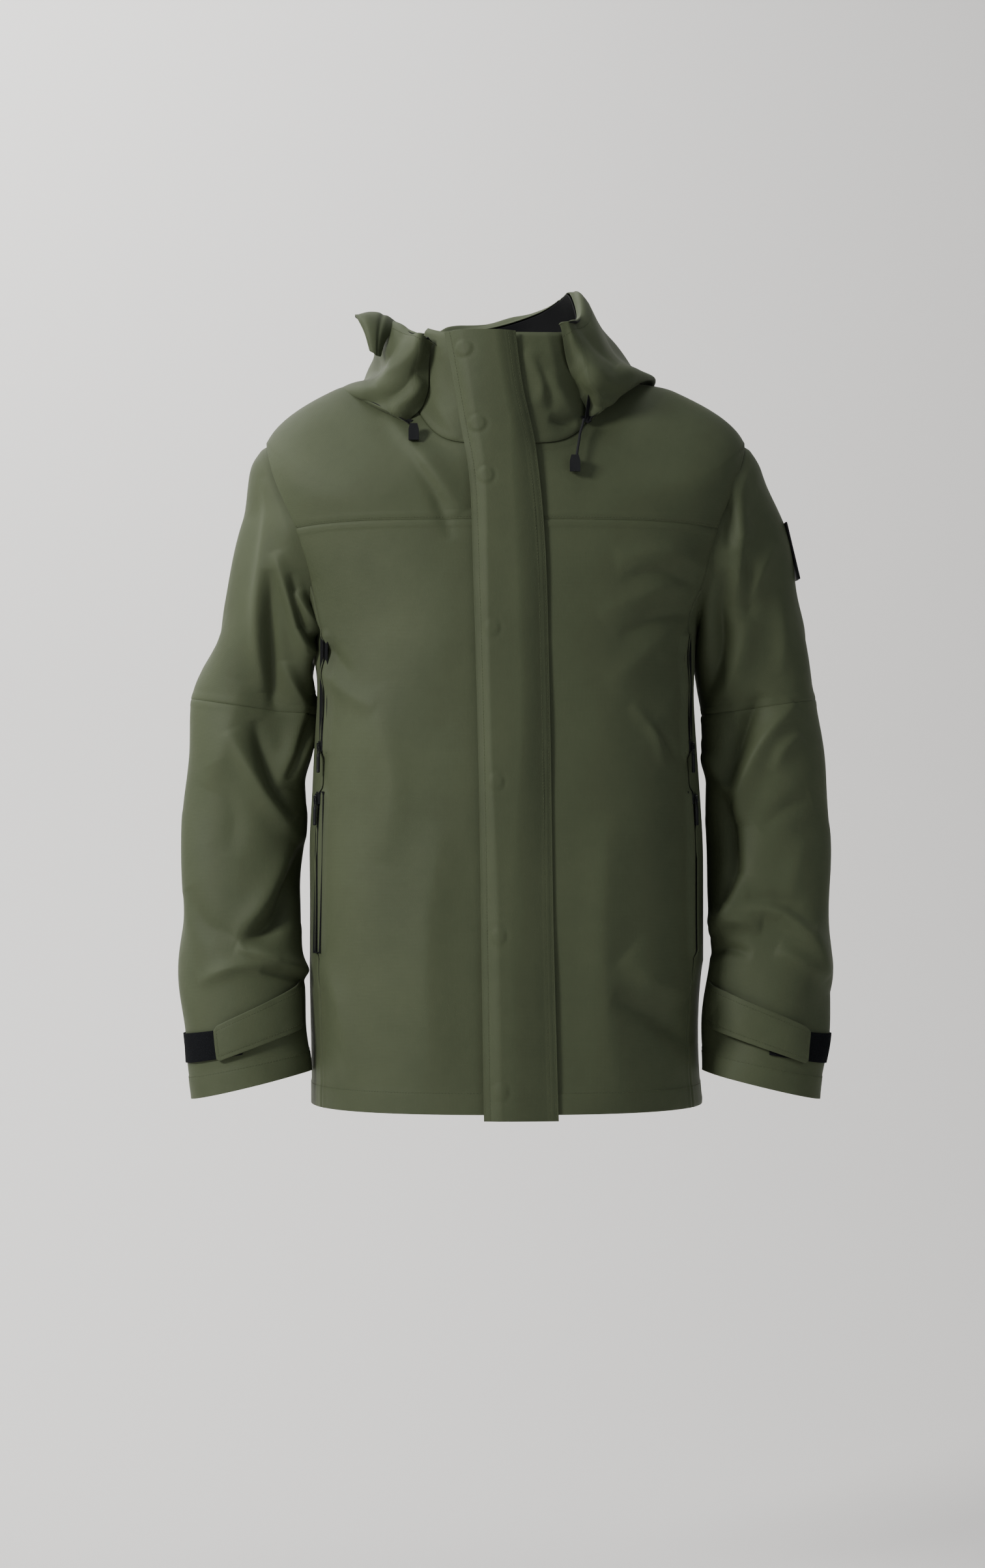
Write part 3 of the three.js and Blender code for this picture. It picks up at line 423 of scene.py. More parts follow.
def make_object(name: str, verts: Array, faces: Array, uv: Array, inner: Array) -> bpy.types.Object:
    """A mesh object from arrays, its faces turned outwards.

    Args:
        name: the piece's name.
        verts: places, one row each.
        faces: four vertex numbers a row.
        uv: cloth coordinates of each face's corners, faces x 4 x 2.
        inner: 1 on vertices of the lining side, else 0.
    """
    a, b, c, d = (verts[faces[:, k]] for k in range(4))
    volume = np.sum(a * np.cross(b, c)) + np.sum(a * np.cross(c, d))
    if volume < 0:
        faces, uv = faces[:, ::-1], uv[:, ::-1]
    mesh = bpy.data.meshes.new(name)
    mesh.vertices.add(len(verts))
    mesh.vertices.foreach_set("co", verts.astype(np.float32).ravel())
    mesh.loops.add(faces.size)
    mesh.loops.foreach_set("vertex_index", np.ascontiguousarray(faces, dtype=np.int32).ravel())
    mesh.polygons.add(len(faces))
    mesh.polygons.foreach_set("loop_start", np.arange(0, faces.size, 4, dtype=np.int32))
    mesh.polygons.foreach_set("use_smooth", np.ones(len(faces), dtype=bool))
    corners = np.ascontiguousarray(uv, dtype=np.float32).ravel()
    mesh.uv_layers.new(name="cloth").data.foreach_set("uv", corners)
    mesh.attributes.new("lining", "FLOAT", "POINT").data.foreach_set("value", inner.astype(np.float32))
    mesh.update(calc_edges=True)
    mesh.validate()
    piece = bpy.data.objects.new(name, mesh)
    bpy.context.scene.collection.objects.link(piece)
    return piece


def cloth_wall(name: str, outer: Array, outward: Array, thickness: float,
               closed: bool = False) -> bpy.types.Object:
    """A closed wall of cloth behind a grid of places.

    The inner side is the outer one moved back against the outward normals; strips of faces
    close the rims.

    Args:
        name: the piece's name.
        outer: rows x columns x 3.
        outward: normals on the grid.
        thickness: the wall.
        closed: whether the last column joins the first.
    """
    inner = outer - outward * thickness
    rows, cols = outer.shape[:2]
    verts = np.concatenate([outer.reshape(-1, 3), inner.reshape(-1, 3)])
    number = np.arange(rows * cols).reshape(rows, cols)
    if closed:
        number = np.concatenate([number, number[:, :1]], axis=1)
    uv = arc_grid(outer, closed)
    outer_faces, outer_uv = quads(number).reshape(-1, 4), quads(uv).reshape(-1, 4, 2)
    back = rows * cols
    faces = [outer_faces, outer_faces[:, ::-1] + back]
    uvs = [outer_uv, outer_uv[:, ::-1]]

    def rim(line: Array, line_uv: Array, turned: bool) -> None:
        """A strip of faces from the outer to the inner side along one edge."""
        strip = np.stack([line[:-1], line[:-1] + back, line[1:] + back, line[1:]], axis=-1)
        strip_uv = np.stack([line_uv[:-1], line_uv[:-1], line_uv[1:], line_uv[1:]], axis=1)
        faces.append(strip[:, ::-1] if turned else strip)
        uvs.append(strip_uv[:, ::-1] if turned else strip_uv)

    rim(number[0], uv[0], False)
    rim(number[-1], uv[-1], True)
    if not closed:
        rim(number[:, 0], uv[:, 0], True)
        rim(number[:, -1], uv[:, -1], False)
    lining = np.concatenate([np.zeros(back), np.ones(back)])
    return make_object(name, verts, np.concatenate(faces), np.concatenate(uvs), lining)


def solid_of(name: str, rings: Array) -> bpy.types.Object:
    """A closed solid from rings of places, the first and last drawn together at their middles.

    Args:
        name: the piece's name.
        rings: rings x around x 3.
    """
    caps = [rings[:1].mean(axis=1, keepdims=True), rings[-1:].mean(axis=1, keepdims=True)]
    verts = np.concatenate([rings.reshape(-1, 3), caps[0].reshape(-1, 3), caps[1].reshape(-1, 3)])
    count, around = rings.shape[:2]
    number = np.arange(count * around).reshape(count, around)
    number = np.concatenate([number, number[:, :1]], axis=1)
    faces = quads(number).reshape(-1, 4)
    first, last = count * around, count * around + 1
    fan = (around // 2,)
    low = np.stack([number[0, 2::2], number[0, 1::2], number[0, :-1:2], np.full(fan, first)], -1)
    high = np.stack([number[-1, :-1:2], number[-1, 1::2], number[-1, 2::2], np.full(fan, last)], -1)
    faces = np.concatenate([faces, low, high])
    return make_object(name, verts, faces, verts[faces][..., [0, 2]], np.zeros(len(verts)))


def rounded_bar(name: str, length: float, width: float, depth: float, taper: float = 1.0,
                bevel: float = 0.25, around: int = 20, rings: int = 8) -> bpy.types.Object:
    """A bar with rounded ends and edges along -Z from the origin.

    Each ring is a superellipse of the width and the depth; the first and last rings shrink by
    a quarter circle of the bevel.

    Args:
        name: the piece's name.
        length: along -Z.
        width: along X at the top.
        depth: along Y.
        taper: the width at the bottom over the width at the top.
        bevel: share of the depth that the ends round over.
        around: places round a ring.
        rings: rings along the straight part.
    """
    turn = np.linspace(0, 2 * np.pi, around, endpoint=False)
    round_end = np.sin(np.linspace(0.15, 1, 4) * np.pi / 2)
    edge = bevel * depth
    scale = np.concatenate([1 - bevel * (1 - round_end), np.ones(rings), 1 - bevel * (1 - round_end[::-1])])
    z = np.concatenate([
        -edge * (1 - np.cos(np.linspace(0.15, 1, 4) * np.pi / 2)),
        -np.linspace(edge, length - edge, rings),
        -length + edge * (1 - np.cos(np.linspace(1, 0.15, 4) * np.pi / 2)),
    ])
    z = np.sort(z)[::-1]
    share = -z / length
    half_w = width / 2 * lerp(1.0, taper, share) * scale
    half_d = depth / 2 * scale
    power = lambda t: np.sign(t) * np.abs(t) ** 0.55
    ring_x = half_w[:, None] * power(np.cos(turn))[None, :]
    ring_y = half_d[:, None] * power(np.sin(turn))[None, :]
    ring_z = np.broadcast_to(z[:, None], ring_x.shape)
    return solid_of(name, np.stack([ring_x, ring_y, ring_z], -1))


def tube(name: str, path: Array, radius: float | Array, around: int = 10) -> bpy.types.Object:
    """A round tube along a path, its rings square to the path and its ends drawn together.

    Args:
        name: the piece's name.
        path: places along it.
        radius: one radius or one for each place.
        around: places round a ring.
    """
    tangent = unit(np.gradient(path, axis=0))
    side = unit(np.cross(tangent, np.array([0.13, 0.21, 0.97])))
    up = np.cross(side, tangent)
    turn = np.linspace(0, 2 * np.pi, around, endpoint=False)
    reach = np.broadcast_to(np.asarray(radius, float), (len(path),))[:, None, None]
    rings = path[:, None] + reach * (
        side[:, None] * np.cos(turn)[None, :, None] + up[:, None] * np.sin(turn)[None, :, None]
    )
    return solid_of(name, rings)


def place_copies(name: str, unit_verts: Array, unit_faces: Array, origins: Array,
                 axes: Array) -> bpy.types.Object:
    """Many copies of one small shape in one mesh.

    Args:
        name: the piece's name.
        unit_verts: the shape's places in its own frame.
        unit_faces: its faces, four vertex numbers a row.
        origins: copies x 3.
        axes: copies x 3 x 3, each row a world axis of the shape's x, y and z.
    """
    verts = (origins[:, None] + np.einsum("vk,nkj->nvj", unit_verts, axes)).reshape(-1, 3)
    shift = (np.arange(len(origins)) * len(unit_verts))[:, None, None]
    faces = (unit_faces[None] + shift).reshape(-1, 4)
    coords = np.broadcast_to(unit_verts[unit_faces][None, ..., :2], (len(origins), len(unit_faces), 4, 2))
    return make_object(name, verts, faces, coords.reshape(-1, 4, 2), np.zeros(len(verts)))


def lozenge() -> tuple[Array, Array]:
    """A stitch one unit long, wide and tall: a low ridge pinched at both ends."""
    x = np.array([-0.5, -0.22, 0.22, 0.5])
    ring = np.array([[0.0, -0.5, -0.2], [0.0, 0.5, -0.2], [0.0, 0.28, 0.5], [0.0, -0.28, 0.5]])
    size = np.array([0.25, 1.0, 1.0, 0.25])
    verts = np.concatenate([ring * [0, s, s] + [a, 0, 0] for a, s in zip(x, size)])
    number = np.arange(16).reshape(4, 4)
    wrap = np.concatenate([number, number[:, :1]], axis=1)
    sides = quads(wrap).reshape(-1, 4)
    return verts, np.concatenate([sides, [number[0, ::-1]], [number[-1]]])


def stitch_row(name: str, line: Array, normals: Array, pitch: float = 0.0030,
               width: float = 0.0006) -> bpy.types.Object:
    """Thread stitches along a line on cloth, each a lozenge, a gap after each.

    Args:
        name: the piece's name.
        line: places along the seam.
        normals: the cloth's outward normals at them.
        pitch: from one stitch to the next.
        width: how wide the thread lies.
    """
    run = np.concatenate([[0], np.cumsum(np.linalg.norm(np.diff(line, axis=0), axis=1))])
    stops = np.arange(pitch / 2, run[-1], pitch)
    pick = lambda values: np.stack([np.interp(stops, run, values[:, k]) for k in range(3)], -1)
    origins, out = pick(line), unit(pick(normals))
    along = unit(pick(np.gradient(line, axis=0)))
    out = unit(out - along * np.sum(out * along, axis=1, keepdims=True))
    across = np.cross(out, along)
    axes = np.stack([along * pitch * 0.76, across * width, out * width * 0.55], axis=1)
    verts, faces = lozenge()
    return place_copies(name, verts, faces, origins + out * 0.00008, axes)


def sew(name: str, line: Array, normals: Array, thread: "Finish", body: str = "shell") -> None:
    """A row of stitches that moves with a body.

    Args:
        name: the piece's name.
        line: places along the seam.
        normals: the cloth's outward normals at them.
        thread: the stitching's finish.
        body: what the row moves with.
    """
    stitches = stitch_row(name, line, normals)
    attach(stitches, body)
    thread.dress(stitches)


# ------------------------------------------------------------------ the torso
class Edge(Enum):
    """An edge of a panel's grid."""

    BOTTOM = 0
    TOP = 1
    START = 2
    END = 3


def edge_distances(grid: Array) -> dict[Edge, Array]:
    """How far each place of a grid lies from each of its four edges, along the grid."""
    rows = np.linalg.norm(np.diff(grid, axis=0), axis=-1)
    cols = np.linalg.norm(np.diff(grid, axis=1), axis=-1)
    up = np.concatenate([np.zeros((1, grid.shape[1])), np.cumsum(rows, axis=0)])
    along = np.concatenate([np.zeros((grid.shape[0], 1)), np.cumsum(cols, axis=1)], axis=1)
    return {
        Edge.BOTTOM: up, Edge.TOP: up[-1:] - up,
        Edge.START: along, Edge.END: along[:, -1:] - along,
    }


@dataclass(frozen=True)
class Seam:
    """How cloth behaves beside a sewn seam or a turned hem."""

    groove: float = 0.0012
    reach: float = 0.0020
    ridge: float = 0.0005
    allowance: float = 0.0070
    stitch_at: tuple[float, ...] = ()
    dent: float = 0.00035
    dent_width: float = 0.0011

    def lift(self, distance: Array) -> Array:
        """Groove on the seam, a padded allowance beside it and a dent under each stitch row."""
        total = -self.groove * bell(distance, 0.0, self.reach)
        total = total + self.ridge * smoothstep(self.allowance + 0.0015, self.allowance - 0.001, distance)
        for row in self.stitch_at:
            total = total - self.dent * bell(distance, row, self.dent_width)
        return total


PLAIN_SEAM = Seam(groove=0.0009, reach=0.0014)
FINE_SEAM = Seam(groove=0.0006, reach=0.0011, ridge=0.0003)
TOP_STITCHED = Seam(groove=0.0007, reach=0.0012, ridge=0.0003, stitch_at=(0.0022,), allowance=0.0080)
HEM = Seam(groove=0.0, ridge=0.0007, allowance=0.022, stitch_at=(0.0205,))


@dataclass(frozen=True)
class ZipSlot:
    """The stretch of a side seam that a zip opens, its two lips raised over the tape."""

    top: float
    length: float
    half_gap: float = 0.0030
    rise: float = 0.0043

    def share(self, z: Array) -> Array:
        """1 along the zip, falling to 0 a little beyond its ends."""
        return smoothstep(-self.top + 0.006, -self.top - 0.003, z) * smoothstep(
            -self.top - self.length - 0.006, -self.top - self.length + 0.003, z
        )


SIDE_ZIPS = (ZipSlot(0.402, 0.158), ZipSlot(0.247, 0.118))
FRONT_SEAM, BACK_SEAM = math.radians(66), math.radians(118)
ARMHOLE = math.radians(30)
YOKE_LEVEL, NECK_LEVEL, COLLAR_LEVEL = 3.0, 6.0, 7.0
ZIP_EDGE = 0.005


def placket_x(z: Array) -> Array:
    """Where the main zip's middle runs across the front, by height."""
    return lerp(0.018, -0.008, (z + BODY.length) / (BODY.length + BODY.collar))


def armhole_angle(level: Array) -> Array:
    """Half the armhole's angle at a level."""
    offset = np.clip(np.abs(level - YOKE_LEVEL), 0, 1)
    return ARMHOLE * np.sqrt(1 - offset**2)


def front_edge(side: Side, level: Array) -> Array:
    """The angle of a front's edge beside the main zip."""
    height = BODY.front_line().at(np.clip(level / BODY.top, 0, 1))[..., 2]
    return BODY.angle_at(placket_x(height) + side.value * ZIP_EDGE, level)


def slot_share(side: Side, level: Array, field_of: Callable[[ZipSlot], float]) -> Array:
    """A property of the side zips at a level of the front side seam, 0 away from them."""
    z = BODY.point(side.value * FRONT_SEAM, level)[..., 2]
    return sum(field_of(slot) * slot.share(z) for slot in SIDE_ZIPS)


@dataclass
class ClothPanel:
    """One piece of the body's cloth: a patch of angles and levels, draped and seamed."""

    name: str
    node: str
    angle: Callable[[Array, Array], Array]
    level: Callable[[Array, Array], Array]
    columns: int
    rows: int
    size: tuple[float, float]
    seams: dict[Edge, Seam]
    zip_edge: Edge | None = None
    side: Side = Side.LEFT
    thickness: float = 0.0011
    grid: Array = field(init=False, repr=False)
    normals: Array = field(init=False, repr=False)

    def shape(self, drape: Drape) -> None:
        """Work out the draped grid and its normals."""
        u, v = patch((self.columns, self.size[0]), (self.rows, self.size[1]))
        angle, level = self.angle(u, v), self.level(u, v)
        base, normal = BODY.point(angle, level), BODY.normal(angle, level)
        gap = edge_distances(base)
        lift = drape.lift(base, normal)
        if self.zip_edge is not None:
            rise = slot_share(self.side, level, lambda slot: slot.rise)
            lift = lift + rise * smoothstep(0.013, 0.0005, gap[self.zip_edge])
        for edge, seam in self.seams.items():
            lift = lift + seam.lift(gap[edge])
        self.grid = base + normal * lift[..., None]
        self.normals = normal

    def line(self, edge: Edge, offset: float) -> tuple[Array, Array]:
        """A line on the cloth that runs beside an edge at an offset, with its normals."""
        gap = edge_distances(self.grid)[edge]
        across = edge in (Edge.START, Edge.END)
        grid, normals, gap = (
            (self.grid, self.normals, gap) if across
            else (self.grid.swapaxes(0, 1), self.normals.swapaxes(0, 1), gap.T)
        )
        if edge in (Edge.END, Edge.TOP):
            grid, normals, gap = grid[:, ::-1], normals[:, ::-1], gap[:, ::-1]
        cell = np.clip((gap < offset).sum(axis=1) - 1, 0, gap.shape[1] - 2)
        row = np.arange(len(gap))
        low, high = gap[row, cell], gap[row, cell + 1]
        share = np.clip((offset - low) / np.maximum(high - low, 1e-9), 0, 1)[:, None]
        return (
            lerp(grid[row, cell], grid[row, cell + 1], share),
            unit(lerp(normals[row, cell], normals[row, cell + 1], share)),
        )


FRONT_FOLDS = (
    # The hollow beside the wearer's left cuff.
    Crease(((0.197, -0.570), (0.198, -0.640), (0.197, -0.705)), -0.0060, 0.030),
    # A long soft fold from the cord's end across the chest, and the pull from the armpits.
    Crease(((-0.118, -0.030), (-0.078, -0.085), (-0.040, -0.132)), 0.0063, 0.0080, 1.8),
    Crease(((-0.100, -0.060), (-0.070, -0.110), (-0.052, -0.160)), -0.0038, 0.0064),
    Crease(((-0.196, -0.200), (-0.180, -0.232), (-0.172, -0.262)), 0.0058, 0.0064, 1.6),
    Crease(((-0.190, -0.225), (-0.172, -0.262), (-0.150, -0.290)), -0.0044, 0.0056),
    Crease(((-0.198, -0.250), (-0.160, -0.300), (-0.125, -0.322)), 0.0046, 0.0088),
    Crease(((0.205, -0.190), (0.160, -0.170), (0.105, -0.178)), 0.0043, 0.0110, 1.6),
    Crease(((0.205, -0.200), (0.150, -0.205), (0.090, -0.232)), 0.0038, 0.0101, 1.7),
    Crease(((0.200, -0.215), (0.150, -0.255), (0.098, -0.300)), 0.0041, 0.0120, 1.5),
    Crease(((0.195, -0.240), (0.170, -0.300), (0.130, -0.370)), 0.0038, 0.0129),
    Crease(((0.190, -0.205), (0.150, -0.188), (0.110, -0.198)), -0.0023, 0.0064),
    Crease(((0.192, -0.228), (0.150, -0.232), (0.110, -0.252)), -0.0023, 0.0064),
    Crease(((0.120, -0.318), (0.142, -0.345), (0.152, -0.380)), 0.0046, 0.0056),
    Crease(((0.130, -0.330), (0.155, -0.352), (0.168, -0.372)), -0.0030, 0.0040),
    Crease(((0.112, -0.560), (0.140, -0.585), (0.180, -0.600)), 0.0076, 0.0128, 1.6),
    Crease(((0.100, -0.600), (0.140, -0.618), (0.185, -0.650)), -0.0050, 0.0112),
    Crease(((-0.180, -0.560), (-0.160, -0.610), (-0.150, -0.680)), 0.0058, 0.0112),
    Crease(((-0.060, -0.430), (-0.075, -0.540), (-0.070, -0.690)), 0.0046, 0.0208),
    Crease(((0.100, -0.420), (0.092, -0.540), (0.105, -0.700)), 0.0046, 0.0192),
    Crease(((-0.130, -0.300), (-0.110, -0.390), (-0.120, -0.470)), 0.0042, 0.0176),
)
BACK_FOLDS = (
    Crease(((-0.165, -0.190), (-0.120, -0.235), (-0.070, -0.250)), 0.0088, 0.0104, 1.6, back=True),
    Crease(((0.168, -0.185), (0.115, -0.225), (0.060, -0.255)), 0.0092, 0.0104, 1.6, back=True),
    Crease(((-0.170, -0.230), (-0.110, -0.290), (-0.040, -0.330)), 0.0076, 0.0128, back=True),
    Crease(((0.170, -0.225), (0.100, -0.300), (0.030, -0.345)), 0.0076, 0.0128, back=True),
    Crease(((-0.120, -0.380), (0.000, -0.430), (0.120, -0.395)), 0.0088, 0.0160, 1.8, back=True),
    Crease(((-0.140, -0.450), (-0.020, -0.490), (0.090, -0.470)), -0.0050, 0.0128, back=True),
    Crease(((-0.100, -0.480), (-0.080, -0.600), (-0.090, -0.720)), 0.0084, 0.0208, back=True),
    Crease(((0.095, -0.490), (0.078, -0.600), (0.100, -0.720)), 0.0084, 0.0208, back=True),
    Crease(((0.000, -0.150), (0.004, -0.200), (-0.006, -0.280)), 0.0042, 0.0160, back=True),
)


@dataclass
class Torso:
    """The fronts, yokes, sides and back, sewn edge to edge."""

    drape: Drape = Drape(FRONT_FOLDS + BACK_FOLDS, swell=0.0020, swell_size=0.085, seed=11)

    def fronts(self, side: Side) -> list[ClothPanel]:
        """A front, its yoke and the panel under the arm.

        Args:
            side: the wearer's side.
        """
        s = side.value

        def lip(level: Array) -> Array:
            """How far the seam's edge opens for a zip, as an angle."""
            return slot_share(side, level, lambda slot: slot.half_gap) / BODY.half_width

        def front_angle(u: Array, v: Array) -> Array:
            """Across the front, from the placket to the side seam or the armhole."""
            level = YOKE_LEVEL * v
            outer = np.minimum(FRONT_SEAM - lip(level), np.pi / 2 - armhole_angle(level))
            return lerp(front_edge(side, level), s * outer, u)

        def yoke_level(u: Array, v: Array) -> Array:
            """Up the yoke."""
            return lerp(YOKE_LEVEL, NECK_LEVEL, v)

        def yoke_angle(u: Array, v: Array) -> Array:
            """Across the yoke, from the placket to the armhole or the shoulder's ridge."""
            level = yoke_level(u, v)
            return lerp(front_edge(side, level), s * (np.pi / 2 - armhole_angle(level)), u)

        def side_angle(u: Array, v: Array) -> Array:
            """From the front side seam to the back one."""
            level = YOKE_LEVEL * v
            return s * lerp(FRONT_SEAM + lip(level), BACK_SEAM, u)

        def side_level(u: Array, v: Array) -> Array:
            """Up to the armhole's curve."""
            offset = (lerp(FRONT_SEAM, BACK_SEAM, u) - np.pi / 2) / ARMHOLE
            top = YOKE_LEVEL - np.sqrt(np.maximum(0, 1 - offset**2))
            return lerp(0.0, top, v)

        return [
            ClothPanel(f"front_{side.label}_cloth", f"front_panel_{side.label}", front_angle,
                       lambda u, v: YOKE_LEVEL * v, 74, 200, (0.20, 0.57),
                       {Edge.BOTTOM: HEM, Edge.TOP: PLAIN_SEAM, Edge.END: PLAIN_SEAM},
                       zip_edge=Edge.END, side=side),
            ClothPanel(f"yoke_{side.label}_cloth", f"front_yoke_{side.label}", yoke_angle, yoke_level,
                       86, 60, (0.24, 0.12),
                       {Edge.BOTTOM: TOP_STITCHED, Edge.TOP: FINE_SEAM, Edge.END: FINE_SEAM},
                       side=side),
            ClothPanel(f"side_{side.label}_cloth", f"side_panel_{side.label}", side_angle, side_level,
                       50, 150, (0.15, 0.48),
                       {Edge.BOTTOM: HEM, Edge.TOP: PLAIN_SEAM, Edge.START: PLAIN_SEAM, Edge.END: PLAIN_SEAM},
                       zip_edge=Edge.START, side=side),
        ]

    def backs(self) -> list[ClothPanel]:
        """The back panel and the back yoke."""

        def span(level: Array, u: Array) -> Array:
            """From one side to the other round the back."""
            start = np.maximum(np.where(level < YOKE_LEVEL, BACK_SEAM, 0), np.pi / 2 + armhole_angle(level))
            return lerp(start, 2 * np.pi - start, u)

        return [
            ClothPanel("back_cloth", "back_panel", lambda u, v: span(YOKE_LEVEL * v, u),
                       lambda u, v: YOKE_LEVEL * v, 120, 190, (0.33, 0.60),
                       {Edge.BOTTOM: HEM, Edge.TOP: PLAIN_SEAM, Edge.START: PLAIN_SEAM,
                        Edge.END: PLAIN_SEAM}),
            ClothPanel("back_yoke_cloth", "back_yoke",
                       lambda u, v: span(lerp(YOKE_LEVEL, NECK_LEVEL, v), u),
                       lambda u, v: lerp(YOKE_LEVEL, NECK_LEVEL, v), 140, 70, (0.46, 0.20),
                       {Edge.BOTTOM: TOP_STITCHED, Edge.TOP: PLAIN_SEAM, Edge.START: PLAIN_SEAM,
                        Edge.END: PLAIN_SEAM}),
        ]

    def build(self, shell: "Finish", thread: "Finish") -> list[bpy.types.Object]:
        """Shape, attach, dress and stitch every panel.

        Args:
            shell: the cloth's finish.
            thread: the stitching's finish.
        """
        made = []
        for panel in [*self.fronts(Side.RIGHT), *self.fronts(Side.LEFT), *self.backs()]:
            panel.shape(self.drape)
            made.append(sewn_cloth(panel.name, panel.grid, panel.normals, panel.thickness,
                                   (panel.node,), shell))
            for edge, seam in panel.seams.items():
                for row in seam.stitch_at:
                    sew(f"{panel.name}_stitch_{edge.name.lower()}", *panel.line(edge, row), thread)
        return made


def declare_cloth(piece: bpy.types.Object, nodes: Sequence[str],
                  body: str = "shell") -> None:
    """Hide the solids that a cloth piece replaces and attach it to what it rides on.

    Args:
        piece: the piece.
        nodes: the solids that it stands for.
        body: what it moves with.
    """
    if body:
        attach(piece, body)
    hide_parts(*nodes)


def sewn_cloth(name: str, grid: Array, normals: Array, thickness: float, nodes: Sequence[str],
               finish: "Finish", closed: bool = False,
               body: str = "shell") -> bpy.types.Object:
    """A cloth piece: its wall built, attached to its body, the solids it stands for hidden, and dressed.

    Args:
        name: the piece's name.
        grid: its outer grid.
        normals: outward normals on the grid.
        thickness: the wall.
        nodes: the solids that it stands for.
        finish: what it is made of.
        closed: whether the grid's last column joins its first.
        body: what it moves with.
    """
    piece = cloth_wall(name, grid, normals, thickness, closed)
    declare_cloth(piece, nodes, body)
    finish.dress(piece)
    return piece


# ------------------------------------------------------------------ collar
@dataclass
class Collar:
    """The stand-up chin guard: two shell pieces that the main zip parts."""

    side_x_neck: float = 0.0975
    side_x_top: float = 0.0780
    thickness: float = 0.0016
    drape: Drape = Drape((
        Crease(((0.019, 0.026), (0.035, -0.008), (0.031, -0.030)), 0.0034, 0.0060, 1.5),
        Crease(((0.041, 0.006), (0.054, -0.020), (0.068, -0.038)), 0.0034, 0.0055, 1.5),
        Crease(((0.030, 0.020), (0.042, -0.016), (0.045, -0.036)), -0.0030, 0.0050),
        Crease(((0.042, -0.040), (0.055, -0.044), (0.068, -0.043)), -0.0048, 0.0050),
        Crease(((0.038, 0.050), (0.044, 0.020), (0.050, -0.010)), 0.0016, 0.0060),
        Crease(((-0.070, -0.018), (-0.058, -0.040), (-0.046, -0.062)), 0.0024, 0.0070, 1.5),
        Crease(((-0.062, 0.020), (-0.058, -0.006), (-0.050, -0.030)), -0.0014, 0.0080),
    ), swell=0.0006, swell_size=0.030, seed=31)

    def build(self, side: Side, shell: "Finish") -> bpy.types.Object:
        """One side of the collar.

        Args:
            side: the wearer's side.
            shell: the cloth's finish.
        """
        u, v = patch((44, 0.09), (40, 0.11))
        level = lerp(NECK_LEVEL, COLLAR_LEVEL, v)
        outer = BODY.angle_at(side.value * lerp(self.side_x_neck, self.side_x_top, v), level)
        angle = lerp(front_edge(side, level), outer, u)
        base, normal = BODY.point(angle, level), BODY.normal(angle, level)
        gap = edge_distances(base)
        lift = 0.0012 * np.sin(np.pi * v) + FINE_SEAM.lift(gap[Edge.BOTTOM])
        lift = lift + self.drape.lift(base, normal)
        lift = lift - 0.0018 * smoothstep(0.004, 0.0, gap[Edge.TOP])
        grid = base + normal * lift[..., None]
        name = f"collar_{side.label}"
        return sewn_cloth(f"{name}_cloth", grid, normal, self.thickness, (name,), shell)


